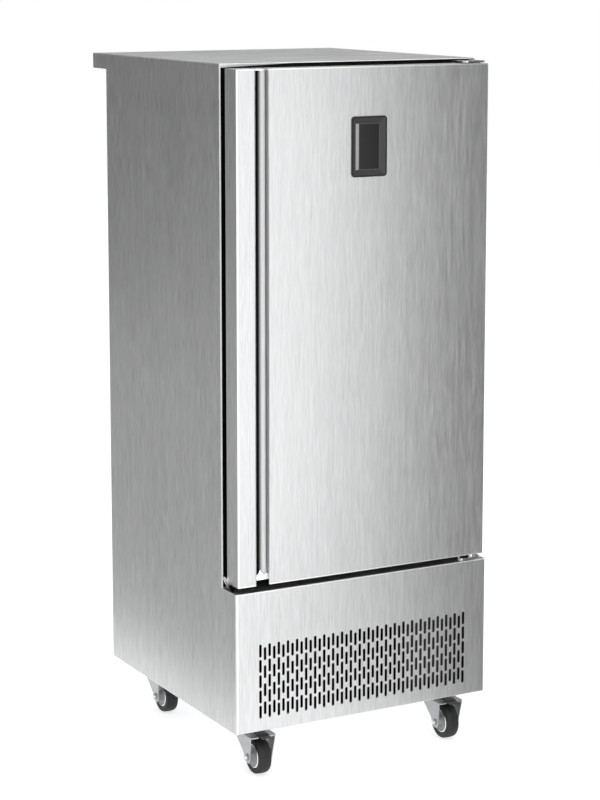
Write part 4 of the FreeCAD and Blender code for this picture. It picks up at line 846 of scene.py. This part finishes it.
@dataclass(frozen=True)
class TouchGlass(Finish):
    """Dark touch glass with a faint film of fingerprints."""

    name: str
    colour: Colour = (0.005, 0.005, 0.0053)

    def lay(self, tree: Tree) -> None:
        """Wire fingerprints.

        Args:
            tree: the material's tree.
        """
        clouding = Effect.use(tree, "clouding", stretch=(35.0, 35.0, 12.0), depth=0.12)
        self.coat(tree, tree.tint(self.colour, clouding["Shade"]), tree.spread(clouding["Mask"], 0.20, 0.24),
                  tree.noise(tree.place(), 900.0, 2.0), 0.000001)


@dataclass(frozen=True)
class PrintedBoard(Finish):
    """Circuit board: green resist with printed runs."""

    name: str
    colour: Colour = (0.03, 0.16, 0.07)
    run_colour: Colour = (0.10, 0.30, 0.12)

    def lay(self, tree: Tree) -> None:
        """Wire the printed runs.

        Args:
            tree: the material's tree.
        """
        bricks = tree.add("ShaderNodeTexBrick")
        tree.link(tree.place(), bricks.inputs["Vector"])
        bricks.inputs["Scale"].default_value = 90.0
        bricks.inputs["Mortar Size"].default_value = 0.03
        runs = bricks.outputs["Fac"]
        self.coat(tree, tree.mix(tree.times(runs, 0.6), self.colour, self.run_colour),
                  tree.spread(runs, 0.35, 0.25), runs, 0.00003)


class Finishes:
    """Every finish of the chiller, by what it is on."""

    outer_steel = BrushedSteel("stainless upright grain", (0.66, 0.665, 0.67), Grain.UPRIGHT, edge_highlight=1.0,
                               marks=1.15, edge_width=0.0036)
    grille_steel = GrilleSteel("stainless grille", (0.66, 0.665, 0.67), Grain.UPRIGHT, edge_highlight=1.0,
                               marks=0.80, edge_width=0.0040, far_edge_highlight=0.1)
    door_steel = DoorSteel("stainless door skin", (0.66, 0.665, 0.67), Grain.UPRIGHT, edge_highlight=0.0,
                           marks=0.82)
    roof_steel = RoofSteel("stainless roof", (0.64, 0.645, 0.65), Grain.ACROSS, marks=0.7, clouds=0.9,
                           cloud_stretch=(5.0, 24.0, 24.0), gloss=(0.25, 0.60), depth=0.00030)
    liner_steel = BrushedSteel("stainless liner", (0.70, 0.705, 0.71), Grain.UPRIGHT, gloss=(0.26, 0.36),
                               marks=0.12, clouds=0.08, edge_highlight=0.2)
    fitting_steel = BrushedSteel("stainless fittings", (0.70, 0.70, 0.70), Grain.DEPTH, gloss=(0.22, 0.34),
                                 marks=0.12, edge_highlight=0.3)
    hardware_steel = BrushedSteel("stainless hardware", (0.72, 0.72, 0.73), Grain.ACROSS, gloss=(0.18, 0.30),
                                  marks=0.10, edge_highlight=0.4)
    bright_cap = BrushedSteel("bright cap", (0.97, 0.97, 0.97), Grain.ACROSS, gloss=(0.20, 0.30), marks=0.06,
                              clouds=0.04)
    guard_steel = GuardSteel("corner guard", (0.97, 0.97, 0.97), Grain.ACROSS, gloss=(0.20, 0.30), marks=0.06,
                             clouds=0.04)
    galvanised = ZincPlate("galvanised sheet", (0.50, 0.52, 0.54), facet_scale=90.0, facets=0.22, dust=0.3)
    caster_zinc = ZincPlate("caster zinc", (0.44, 0.445, 0.455), dust=0.6)
    plate_zinc = ZincPlate("caster plate zinc", (0.74, 0.745, 0.75), dust=0.3)
    bolt_zinc = ZincPlate("bolt zinc", (0.78, 0.79, 0.80), gloss=(0.2, 0.32), dust=0.05)
    guard_wire = ZincPlate("guard wire", (0.72, 0.73, 0.75), gloss=(0.2, 0.3), dust=0.02)
    tread = MouldedPlastic("tyre rubber", (0.016, 0.016, 0.017), gloss=(0.50, 0.68), pebble=700.0, wear=0.10,
                           dust=0.03)
    wheel_centre = MouldedPlastic("wheel centre", (0.62, 0.625, 0.63), gloss=(0.30, 0.45), wear=0.3,
                                  dust=0.05)
    wheel_rim = BrushedSteel("wheel rim", (0.97, 0.97, 0.97), Grain.ACROSS, gloss=(0.2, 0.3), marks=0.06)
    pedal = MouldedPlastic("brake pedal", (0.050, 0.050, 0.052), gloss=(0.35, 0.5), pebble=600.0, wear=0.55,
                           dust=0.10)
    bezel = BezelPlastic("display bezel", (0.048, 0.048, 0.050), gloss=(0.40, 0.50), pebble=1400.0, wear=0.3)
    trim = MouldedPlastic("display side strip", (0.60, 0.60, 0.60), gloss=(0.30, 0.40), pebble=1500.0,
                          wear=0.0)
    seal = MouldedPlastic("screen seal", (0.16, 0.16, 0.165), gloss=(0.4, 0.5), pebble=1500.0, wear=0.2)
    black_frame = MouldedPlastic("breaker frame", (0.004, 0.004, 0.004), gloss=(0.75, 0.9), wear=0.02,
                                 specular=0.03)
    gasket = MouldedPlastic("door gasket", (0.004, 0.004, 0.004), gloss=(0.75, 0.9), pebble=500.0, wear=0.02,
                            specular=0.03)
    bush = MouldedPlastic("hinge bush", (0.60, 0.58, 0.54), gloss=(0.35, 0.45))
    motor = PaintedMetal("motor enamel", (0.025, 0.025, 0.028))
    fan = MouldedPlastic("fan plastic", (0.03, 0.03, 0.033), gloss=(0.35, 0.5), dust=0.08)
    socket = MouldedPlastic("probe socket", (0.05, 0.05, 0.055), gloss=(0.3, 0.4))
    compressor = PaintedMetal("compressor enamel", (0.018, 0.018, 0.020))
    switchgear = PaintedMetal("switchgear enamel", (0.10, 0.10, 0.102), dust=0.03)
    grommet = MouldedPlastic("compressor grommet", (0.02, 0.02, 0.02), gloss=(0.6, 0.75))
    gland = MouldedPlastic("cable gland", (0.022, 0.022, 0.024), gloss=(0.35, 0.48))
    coil = CoilAluminium("coil aluminium", (0.60, 0.61, 0.62))
    # painted shade: the condenser fins are coloured near black for the shade behind the grille slots
    condenser = CoilAluminium("condenser fins", (0.008, 0.008, 0.008))
    # painted shade: machine-room sheet is coloured near black for the shade behind the grille
    shaded_machine_zinc = ZincPlate("machine room sheet", (0.06, 0.06, 0.062), facet_scale=90.0, facets=0.22,
                             dust=0.02)
    copper = DrawnCopper("copper tube")
    foam = CellFoam("insulation foam")
    glass = TouchGlass("touch glass")
    board = PrintedBoard("circuit board")


# ---------------------------------------------------------------------------------- shaping
def in_scene(name: str, data: bpy.types.ID) -> bpy.types.Object:
    """Put a new object with this data in the scene.

    Args:
        name: the object's name.
        data: its mesh, light or camera.

    Returns:
        The new object.
    """
    made = bpy.data.objects.new(name, data)
    bpy.context.scene.collection.objects.link(made)
    return made


class Shape:
    """A mesh in the making."""

    SHARP: ClassVar[float] = math.radians(30.0)
    MERGE: ClassVar[float] = 1e-6

    def __init__(self) -> None:
        """Start with an empty mesh."""
        self.mesh = bmesh.new()

    def soften(self, width: float, segments: int, among: Optional[Iterable] = None) -> None:
        """Round the sharp edges.

        Args:
            width: the bevel's width in metres.
            segments: its segments.
            among: the edges to look at, or all.
        """
        edges = [edge for edge in (among or self.mesh.edges)
                 if len(edge.link_faces) == 2 and edge.calc_face_angle(0.0) > self.SHARP]
        bmesh.ops.bevel(self.mesh, geom=edges, offset=width, affect="EDGES", segments=segments, profile=0.5,
                        material=-1, clamp_overlap=True)

    def block(self, low: Point, high: Point) -> List[bmesh.types.BMVert]:
        """Add a block between two corners.

        Args:
            low: the lowest corner.
            high: the highest corner.

        Returns:
            Its vertices.
        """
        size = [b - a for a, b in zip(low, high)]
        middle = [(a + b) / 2 for a, b in zip(low, high)]
        place = Matrix.Translation(middle) @ Matrix.Diagonal((*size, 1.0))
        return bmesh.ops.create_cube(self.mesh, size=1.0, matrix=place)["verts"]

    def rod(self, start: Point, end: Point, radius: float, tip: Optional[float] = None,
            sides: int = 32) -> None:
        """Add a round or many-sided bar or cone from one point to another.

        Args:
            start: the middle of its first end.
            end: the middle of its last end.
            radius: its radius at the start.
            tip: its radius at the end, or the same.
            sides: how many sides it has.
        """
        line = Vector(end) - Vector(start)
        turn = line.to_track_quat("Z", "Y").to_matrix().to_4x4()
        place = Matrix.Translation((Vector(start) + Vector(end)) / 2) @ turn
        bmesh.ops.create_cone(self.mesh, cap_ends=True, segments=sides, radius1=radius,
                              radius2=radius if tip is None else tip, depth=line.length, matrix=place)

    def lathe(self, profile: Profile, centre: Vector, steps: int = 96) -> "Shape":
        """Spin a closed profile about a line along X into a round solid.

        Args:
            profile: points of (distance along the line, radius).
            centre: where the line passes.
            steps: how many steps the full turn has.

        Returns:
            The shape itself.
        """
        edges = self.loop([centre + Vector((shift, 0.0, radius)) for shift, radius in profile])
        verts = [edge.verts[0] for edge in edges]
        bmesh.ops.spin(self.mesh, geom=verts + edges, cent=centre, axis=(1.0, 0.0, 0.0), dvec=(0.0, 0.0, 0.0),
                       angle=math.tau, steps=steps, use_merge=True)
        return self

    def loop(self, points: Iterable[Point]) -> List[bmesh.types.BMEdge]:
        """Add a closed line.

        Args:
            points: its corners in order.

        Returns:
            Its edges.
        """
        verts = [self.mesh.verts.new(point) for point in points]
        return [self.mesh.edges.new(pair) for pair in zip(verts, verts[1:] + verts[:1])]

    def extruded(self, points: Iterable[Point], offset: Point) -> List[bmesh.types.BMVert]:
        """Extrude a closed flat outline.

        Args:
            points: its corners in order.
            offset: how far and which way it is extruded.

        Returns:
            The vertices of the solid.
        """
        face = bmesh.ops.contextual_create(self.mesh, geom=self.loop(points))["faces"][0]
        first = list(face.verts)
        made = bmesh.ops.extrude_face_region(self.mesh, geom=[face], use_keep_orig=True)["geom"]
        last = [item for item in made if isinstance(item, bmesh.types.BMVert)]
        self.moved(last, Matrix.Translation(offset))
        return first + last

    def moved(self, verts: Iterable[bmesh.types.BMVert], matrix: Matrix) -> None:
        """Move some vertices by a matrix.

        Args:
            verts: the vertices.
            matrix: the matrix.
        """
        bmesh.ops.transform(self.mesh, matrix=matrix, verts=list(verts))

    def finish(self, name: str, body: str, slot: str, look: Finish, smooth: float = 35.0) -> bpy.types.Object:
        """Close the mesh and make it an object that rides a body.

        Args:
            name: the piece's name.
            body: the body it rides on.
            slot: the name of a material slot; not used.
            look: its finish.
            smooth: the angle up to which edges shade smoothly, in degrees.

        Returns:
            The new object.
        """
        bmesh.ops.remove_doubles(self.mesh, verts=self.mesh.verts, dist=self.MERGE)
        bmesh.ops.recalc_face_normals(self.mesh, faces=self.mesh.faces)
        for face in self.mesh.faces:
            face.smooth = True
        for edge in self.mesh.edges:
            edge.smooth = edge.calc_face_angle(0.0) < math.radians(smooth)
        data = bpy.data.meshes.new(name)
        self.mesh.to_mesh(data)
        self.mesh.free()
        data.materials.append(look.material())
        piece = in_scene(name, data)
        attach(piece, body)
        log.info("made %s on %s, %d faces", name, body, len(data.polygons))
        return piece


def dress(look: Finish, *nodes: str) -> None:
    """Give CAD nodes a finish.

    Args:
        look: the finish.
        nodes: the nodes' names.
    """
    for name in nodes:
        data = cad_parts[name].data
        data.materials.clear()
        data.materials.append(look.material())
        log.info("dressed %s in %s", name, look.name)


# ---------------------------------------------------------------------------------- sub-assemblies
@dataclass
class Cabinet:
    """Outer sheets, roof, back, base and everything bolted straight to them."""

    guard_outline: Profile = ((-0.3745, 0.5640), (-0.3785, 0.5665), (-0.3835, 0.5660), (-0.3870, 0.5625),
                              (-0.3950, 0.5585), (-0.4060, 0.5520), (-0.4170, 0.5450), (-0.4260, 0.5385),
                              (-0.4280, 0.5350), (-0.4180, 0.5350), (-0.4060, 0.5390), (-0.3940, 0.5450),
                              (-0.3840, 0.5510), (-0.3745, 0.5580))
    guard_span: Span = (-0.3985, -0.3905)

    def build(self) -> None:
        """Dress the sheets and make the guard at the ledge's left end."""
        dress(Finishes.outer_steel, "left_side_panel", "right_side_panel", "back_panel")
        dress(Finishes.grille_steel, "base_front_panel")
        dress(Finishes.roof_steel, "top_panel")
        dress(Finishes.galvanised, "base_pan")
        dress(Finishes.shaded_machine_zinc, "machine_deck")
        dress(Finishes.foam, "cabinet_insulation")
        dress(Finishes.black_frame, "breaker_frame")
        dress(Finishes.hardware_steel, "hinge_brackets", "panel_screws")
        self.corner_guard()

    def corner_guard(self) -> None:
        """Curved bright strip that closes the corner between the ledge and the body on the left."""
        shape = Shape()
        left, right = self.guard_span
        shape.extruded([(left, y, z) for y, z in self.guard_outline], (right - left, 0.0, 0.0))
        shape.soften(0.0012, 3)
        shape.finish("ledge_corner_guard", "cabinet", "bright_cap", Finishes.guard_steel, 50.0)


@dataclass
class Door:
    """The insulated door with its groove, the groove's closers and the seal."""

    groove: Span = (-0.3350, -0.2974)
    groove_floor: float = -0.4346
    cap_face: float = -0.4500
    top: float = 1.9430
    foot: float = 0.5635
    hump_foot: float = 0.0100
    hump_lean: float = 0.36
    humps: Profile = ((0.0, 0.0), (0.0376, 0.0), (0.0376, 0.0150), (0.0345, 0.0168), (0.0305, 0.0156),
                      (0.0268, 0.0132), (0.0238, 0.0146), (0.0210, 0.0188), (0.0186, 0.0236), (0.0164, 0.0268),
                      (0.0142, 0.0276), (0.0120, 0.0254), (0.0095, 0.0205), (0.0060, 0.0164), (0.0, 0.0144))
    plate: float = 0.004
    face_band: float = 0.001
    seal_section: Profile = ((0.0, 0.0), (0.0220, 0.0), (0.0220, 0.0024), (0.0180, 0.0030), (0.0165, 0.0044),
                             (0.0176, 0.0058), (0.0165, 0.0072), (0.0186, 0.0086), (0.0210, 0.0102),
                             (0.0210, 0.0148), (0.0200, 0.0159), (0.0020, 0.0159), (0.0010, 0.0148),
                             (0.0010, 0.0102), (0.0034, 0.0086), (0.0055, 0.0072), (0.0044, 0.0058),
                             (0.0055, 0.0044), (0.0040, 0.0030), (0.0, 0.0024))

    def build(self) -> None:
        """Dress the door's nodes and make its groove closers and its seal."""
        dress(Finishes.door_steel, "door_outer_skin")
        dress(Finishes.outer_steel, "door_end_plates")
        dress(Finishes.liner_steel, "door_inner_panel")
        dress(Finishes.foam, "door_insulation")
        dress(Finishes.bush, "door_hinge_bushes")
        self.closers()
        self.bellows()

    def bellows(self) -> None:
        """Magnetic seal with a pleated waist, mitred at its four corners."""
        low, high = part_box("door_gasket")
        shape = Shape()
        rings = []
        for right, up in ((0, 0), (1, 0), (1, 1), (0, 1)):
            corner = (high.x if right else low.x, high.z if up else low.z)
            inward = (-1.0 if right else 1.0, -1.0 if up else 1.0)
            points = [(corner[0] + inward[0] * across, low.y + depth, corner[1] + inward[1] * across)
                      for across, depth in self.seal_section]
            rings.append(shape.loop(points))
        for ring, following in zip(rings, rings[1:] + rings[:1]):
            bmesh.ops.bridge_loops(shape.mesh, edges=ring + following)
        piece = shape.finish("door_seal", "door", "gasket_rubber", Finishes.gasket, 20.0)
        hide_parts("door_gasket")

    def closers(self) -> None:
        """Top closer, a thin plate, and bottom closer, a bright block with two soft humps."""
        shape = Shape()
        left, right = self.groove
        shape.block((left, self.cap_face, self.top - self.plate), (right, self.groove_floor, self.top))
        shape.soften(0.0008, 2)
        outline = [(left + x, self.cap_face, self.foot + z) for x, z in self.humps]
        solid = shape.extruded(outline, (0.0, self.groove_floor - self.cap_face, 0.0))
        for vert in solid:
            if vert.co.y < self.cap_face + self.face_band:
                vert.co.y += max(0.0, vert.co.z - self.foot - self.hump_foot) * self.hump_lean
        shape.soften(0.0012, 3, among=[edge for edge in shape.mesh.edges if edge.verts[0] in solid])
        piece = shape.finish("groove_closers", "door", "bright_cap", Finishes.bright_cap)
        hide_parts("handle_end_caps")


@dataclass
class Display:
    """Bezel, touch glass and circuit board in the door."""

    middle: Span = (0.0092, 1.7275)
    screen: Span = (0.0322, 0.0625)
    face: float = -0.4596
    slope_width: float = 0.0153
    slope_depth: float = 0.0040
    strip: Point = (0.0115, 0.0006, 0.0008)
    strip_sunk: float = 0.0002
    seal_width: float = 0.0012
    seal_depth: Span = (-0.0004, 0.0006)
    softening: float = 0.0002

    def build(self) -> None:
        """Dress the display's nodes, and make the side strip and the screen's seal."""
        dress(Finishes.bezel, "display_bezel")
        dress(Finishes.glass, "display_glass")
        dress(Finishes.board, "display_board")
        self.side_strip()
        self.seal()

    def side_strip(self) -> None:
        """Pale strip that lies on the bezel's left slope, as tall as the screen."""
        shape = Shape()
        x, z = self.middle
        half_x, half_z = self.screen
        width, thickness, gap = self.strip
        verts = shape.block((-width, -thickness, -half_z), (0.0, 0.0, half_z))
        lean = math.atan2(self.slope_depth, self.slope_width)
        place = Matrix.Translation((x - half_x - gap, self.face + self.slope_depth - self.strip_sunk, z))
        shape.moved(verts, place @ Matrix.Rotation(lean, 4, "Z"))
        shape.soften(self.softening, 2)
        shape.finish("display_side_strip", "door", "bezel_plastic", Finishes.trim)

    def seal(self) -> None:
        """Thin seal round the glass."""
        shape = Shape()
        x, z = self.middle
        half_x, half_z = self.screen
        front, rear = (self.face + self.slope_depth + shift for shift in self.seal_depth)
        half = self.seal_width / 2
        for sign in (-1, 1):
            edge = x + sign * (half_x - half)
            shape.block((edge - half, front, z - half_z), (edge + half, rear, z + half_z))
            level = z + sign * (half_z - half)
            shape.block((x - half_x, front, level - half), (x + half_x, rear, level + half))
        shape.soften(self.softening, 2)
        shape.finish("screen_seal", "door", "bezel_plastic", Finishes.seal)


@dataclass
class Caster:
    """One swivel caster: fork, wheel bolt, wheel and, at the front, its brake pedal."""

    place: str
    braked: bool
    bead: ClassVar[Profile] = ((0.0156, 0.0298), (0.0168, 0.0299), (0.0177, 0.0302), (0.0180, 0.0307),
                               (0.0178, 0.0314), (0.0173, 0.0324), (0.0166, 0.0336), (0.0160, 0.0344),
                               (0.0156, 0.0348))
    seat_radius: ClassVar[float] = 0.0348
    shank: ClassVar[float] = 0.004
    shank_short: ClassVar[float] = 0.001
    head: ClassVar[Tuple[Tuple[float, float, float, int], ...]] = (
        (0.0006, 0.0056, 0.0066, 6), (0.0040, 0.0066, 0.0066, 6), (0.0050, 0.0064, 0.0064, 32))
    ribs: ClassVar[int] = 5
    first_rib: ClassVar[float] = 0.0085
    rib_step: ClassVar[float] = 0.0042
    rib_size: ClassVar[Span] = (0.0130, 0.0016)
    rib_depth: ClassVar[Span] = (0.0004, 0.00005)
    tyre_half: float = field(init=False)
    crown_radius: float = field(init=False)
    centre: Vector = field(init=False)

    def __post_init__(self) -> None:
        """Read the wheel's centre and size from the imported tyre."""
        low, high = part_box("wheel_tyre_" + self.place)
        self.centre = (low + high) / 2
        self.tyre_half = (high.x - low.x) / 2
        self.crown_radius = (high.z - low.z) / 2

    def build(self) -> None:
        """Dress the metal and make the wheel."""
        dress(Finishes.caster_zinc, "caster_fork_" + self.place)
        self.bolt()
        self.tyre()
        self.hub()
        if self.braked:
            dress(Finishes.pedal, "brake_pedal_" + self.place)
            self.grip_ribs()

    def tyre(self) -> None:
        """Nearly flat tread with rounded shoulders, a flank step and a mould seam on its crown."""
        half, seat, crown = self.tyre_half, self.seat_radius, self.crown_radius
        left = [(-half, seat), (-half, seat + 0.0012), (-half + 0.0005, seat + 0.0017),
                (-half, seat + 0.0024),
                (-half, crown - 0.0056), (-half + 0.0002, crown - 0.0044), (-half + 0.0009, crown - 0.0032),
                (-half + 0.0020, crown - 0.0022), (-half + 0.0036, crown - 0.0014),
                (-half + 0.0060, crown - 0.0009), (-0.0070, crown - 0.0004), (-0.0013, crown - 0.0001),
                (-0.0010, crown - 0.0004), (-0.0005, crown - 0.0004), (-0.0003, crown)]
        profile = left + [(-shift, radius) for shift, radius in reversed(left)]
        shape = Shape().lathe(profile, self.centre, 128)
        piece = shape.finish("tyre_" + self.place, "wheel_" + self.place, "wheel_tread", Finishes.tread)
        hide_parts("wheel_tyre_" + self.place)

    def hub(self) -> None:
        """Moulded wheel centre with a dished web and boss, and a bright rim ring on each side."""
        side = [(0.0307, 0.00408), (0.0307, 0.0096), (0.0299, 0.0106), (0.0210, 0.0124), (0.0165, 0.0142),
                (0.0146, 0.0165), (0.0143, 0.0200), (0.0149, 0.0206), (0.0149, 0.0214), (0.0143, 0.0220),
                (0.0143, 0.0262), (0.0148, 0.0282), (0.0158, 0.0294), (0.0158, 0.0347)]
        profile = side + [(-shift, radius) for shift, radius in reversed(side)]
        shape = Shape().lathe(profile, self.centre)
        piece = shape.finish("wheel_centre_" + self.place, "wheel_" + self.place, "wheel_plastic",
                             Finishes.wheel_centre)
        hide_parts("wheel_hub_" + self.place)
        rim = Shape()
        for sign in (-1, 1):
            rim.lathe([(sign * shift, radius) for shift, radius in self.bead], self.centre)
        rim.finish("wheel_rim_" + self.place, "wheel_" + self.place, "wheel_plastic", Finishes.wheel_rim)

    def bolt(self) -> None:
        """Wheel bolt: plain shank with a chamfered hexagon head at one end and a nut at the other."""
        low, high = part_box("caster_axle_" + self.place)
        middle = (low + high) / 2
        shape = Shape()
        row = (middle.y, middle.z)
        shape.rod((low.x + self.shank_short, *row), (high.x - self.shank_short, *row), self.shank)
        for outer, sign in ((low.x, 1.0), (high.x, -1.0)):
            start = 0.0
            for end, radius, tip, sides in self.head:
                shape.rod((outer + sign * start, *row), (outer + sign * end, *row), radius, tip, sides)
                start = end
        piece = shape.finish("wheel_bolt_" + self.place, "caster_" + self.place, "axle_zinc",
                             Finishes.bolt_zinc)
        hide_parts("caster_axle_" + self.place)

    def grip_ribs(self) -> None:
        """Cross ribs that give the shoe a hold on the pedal's upper step."""
        low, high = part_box("brake_pedal_" + self.place)
        middle = (low.x + high.x) / 2
        half, width = self.rib_size
        foot, top = (high.z - depth for depth in self.rib_depth)
        shape = Shape()
        for step in range(self.ribs):
            back = high.y - self.first_rib - step * self.rib_step
            shape.block((middle - half, back - width, foot), (middle + half, back, top))
        shape.soften(0.0001, 2)
        shape.finish("pedal_ribs_" + self.place, "pedal_" + self.place, "pedal_black", Finishes.pedal)


@dataclass
class ColdSide:
    """Chamber, evaporator, fans and tray racks."""

    def build(self) -> None:
        """Dress the chamber's nodes."""
        dress(Finishes.liner_steel, "chamber_liner", "evaporator_panel")
        dress(Finishes.coil, "evaporator_coil")
        dress(Finishes.motor, "evaporator_fan_motors")
        dress(Finishes.fan, "evaporator_fan_lower", "evaporator_fan_upper")
        dress(Finishes.guard_wire, "fan_guards")
        dress(Finishes.fitting_steel, "tray_rack_left", "tray_rack_right")
        dress(Finishes.socket, "probe_socket")


@dataclass
class MachineRoom:
    """Condensing unit, pipes and switchgear behind the grille, the gland and the caster plates."""

    def build(self) -> None:
        """Dress the machine room's nodes."""
        dress(Finishes.condenser, "condenser_coil")
        dress(Finishes.shaded_machine_zinc, "condenser_shroud")
        dress(Finishes.fan, "condenser_fan")
        dress(Finishes.motor, "condenser_fan_motor")
        dress(Finishes.compressor, "compressor")
        dress(Finishes.grommet, "compressor_grommets")
        dress(Finishes.copper, "filter_drier", "refrigerant_pipes")
        dress(Finishes.switchgear, "electrical_box")
        dress(Finishes.gland, "cable_gland")
        dress(Finishes.plate_zinc, "caster_plates")


# ---------------------------------------------------------------------------------- studio
@dataclass(frozen=True)
class Softbox:
    """A rectangular studio lamp."""

    name: str
    place: Point
    target: Point
    width: float
    height: float
    power: float

    def build(self) -> None:
        """Hang the lamp. It lights the object without standing in any picture."""
        light = bpy.data.lights.new(self.name, "AREA")
        light.shape = "RECTANGLE"
        light.size = self.width
        light.size_y = self.height
        light.energy = self.power
        lamp = in_scene(self.name, light)
        lamp.location = self.place
        lamp.rotation_euler = (Vector(self.target) - Vector(self.place)).to_track_quat("-Z", "Y").to_euler()
        lamp.visible_camera = False


@dataclass(frozen=True)
class Card:
    """A flat grey card beside the set. Only polished surfaces see it."""

    name: str
    low: Point
    high: Point
    near: float
    far: float
    fade: Tuple[str, float, float] = ("Z", 0.0, 1.0)
    thinnest: ClassVar[float] = 0.001

    def build(self) -> None:
        """Stand the card where the steel mirrors it, fading from near to far along one axis."""
        shape = bmesh.new()
        size = [max(b - a, self.thinnest) for a, b in zip(self.low, self.high)]
        middle = [(a + b) / 2 for a, b in zip(self.low, self.high)]
        place = Matrix.Translation(middle) @ Matrix.Diagonal((*size, 1.0))
        bmesh.ops.create_cube(shape, size=1.0, matrix=place)
        data = bpy.data.meshes.new(self.name)
        shape.to_mesh(data)
        shape.free()
        material, tree = new_material(self.name)
        glow = tree.add("ShaderNodeEmission")
        axis, start, end = self.fade
        tree.link(tree.spread(tree.axes()[axis], self.near, self.far, start, end), glow.inputs["Strength"])
        tree.link(glow.outputs[0], material.node_tree.nodes["Material Output"].inputs["Surface"])
        data.materials.append(material)
        card = in_scene(self.name, data)
        for rays in ("camera", "diffuse", "transmission", "shadow"):
            setattr(card, "visible_" + rays, False)


@dataclass
class Studio:
    """Pale floor, white surroundings, soft lamps, grey cards and the camera."""

    floor_half: float = 14.0
    floor_paint: float = 0.80
    floor_lift: float = 0.70
    surround: float = 0.5
    camera_place: Point = (-3.071, -5.7084, 2.222)
    camera_yaw: float = 28.63
    camera_tilt: float = 8.54
    focal_pixels: float = 2256.0
    picture_height: float = 800.0
    rise_pixels: float = 100.0
    lamps: Tuple[Softbox, ...] = (
        Softbox("key softbox", (0.40, -2.1, 1.05), (0.25, -0.45, 0.95), 1.0, 2.5, 5.9),
        Softbox("overhead softbox", (0.0, 0.5, 4.4), (0.0, 0.2, 0.0), 4.0, 4.0, 60.0),
    )
    cards: Tuple[Card, ...] = (
        Card("left card", (-2.40, 0.5, 0.0), (-2.40, 9.0, 3.6), 0.50, 0.225, ("Z", 0.1, 1.8)),
        Card("left floor card", (-2.40, -0.2, 0.001), (-0.75, 6.0, 0.001), 0.45, 0.45),
        Card("right card", (1.0, -2.2, 0.0), (4.5, -2.2, 4.0), 0.075, 0.075),
        Card("near floor card", (-0.60, -1.1, 0.001), (4.5, -0.52, 0.001), 1.38, 0.20, ("X", 0.0, 0.70)),
        Card("far floor card", (-0.60, -2.2, 0.001), (4.5, -1.1, 0.001), 1.30, 0.20, ("X", 0.20, 1.0)),
        Card("rear card", (-4.0, 5.0, 0.3), (12.0, 5.0, 10.0), 0.20, 0.20),
    )

    def build(self) -> None:
        """Lay the floor, light it all and stand the camera."""
        self.floor()
        self.surroundings()
        for fitting in self.lamps + self.cards:
            fitting.build()
        self.camera()
        bpy.context.scene.view_settings.view_transform = "Standard"

    def floor(self) -> None:
        """A plain pale floor, white where it is looked at, which keeps the object's shadow."""
        mesh = bmesh.new()
        bmesh.ops.create_grid(mesh, x_segments=1, y_segments=1, size=self.floor_half)
        data = bpy.data.meshes.new("floor")
        mesh.to_mesh(data)
        mesh.free()
        floor = in_scene("floor", data)
        material, tree = new_material("studio floor")
        nodes = material.node_tree.nodes
        nodes.remove(nodes["Principled BSDF"])
        paint = tree.add("ShaderNodeBsdfDiffuse")
        paint.inputs["Color"].default_value = grey(self.floor_paint) + (1.0,)
        glow = tree.add("ShaderNodeEmission")
        tree.link(tree.times(self.looked_at(tree), self.floor_lift), glow.inputs["Strength"])
        both = tree.add("ShaderNodeAddShader")
        tree.link(paint.outputs[0], both.inputs[0])
        tree.link(glow.outputs[0], both.inputs[1])
        tree.link(both.outputs[0], nodes["Material Output"].inputs["Surface"])
        data.materials.append(material)

    def looked_at(self, tree: Tree) -> Socket:
        """One for rays that look at the surroundings: straight, mirrored or through glass.

        Args:
            tree: the tree it is for.

        Returns:
            The mask's socket.
        """
        path = tree.add("ShaderNodeLightPath")
        seen = tree.math("ADD", path.outputs["Is Camera Ray"], path.outputs["Is Glossy Ray"])
        return tree.math("ADD", seen, path.outputs["Is Transmission Ray"], clamp=True)

    def surroundings(self) -> None:
        """White where it is looked at, and a soft even fill for the object."""
        world = bpy.data.worlds.new("studio")
        bpy.context.scene.world = world
        world.use_nodes = True
        tree = Tree(world.node_tree)
        back = world.node_tree.nodes["Background"]
        back.inputs["Color"].default_value = grey(1.0) + (1.0,)
        tree.link(tree.spread(self.looked_at(tree), self.surround, 1.0), back.inputs["Strength"])

    def camera(self) -> None:
        """Stand the camera where the photograph was taken from."""
        lens = bpy.data.cameras.new("camera")
        lens.sensor_fit = "AUTO"
        lens.sensor_width = 36.0
        lens.lens = self.focal_pixels * lens.sensor_width / self.picture_height
        lens.shift_y = -self.rise_pixels / self.picture_height
        lens.clip_end = 100.0
        camera = in_scene("camera", lens)
        camera.location = self.camera_place
        camera.rotation_euler = (math.radians(90.0 - self.camera_tilt), 0.0, -math.radians(self.camera_yaw))
        bpy.context.scene.camera = camera


def main() -> None:
    """Build every sub-assembly in order, then the studio."""
    logging.basicConfig(level=logging.INFO, format="%(message)s")
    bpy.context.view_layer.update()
    parts = [Cabinet(), Door(), Display(), ColdSide(), MachineRoom()]
    parts += [Caster(f"{row}_{side}", row == "front") for row in ROWS for side in SIDES]
    for part in parts:
        part.build()
    Studio().build()


if __name__ == "__main__":
    main()
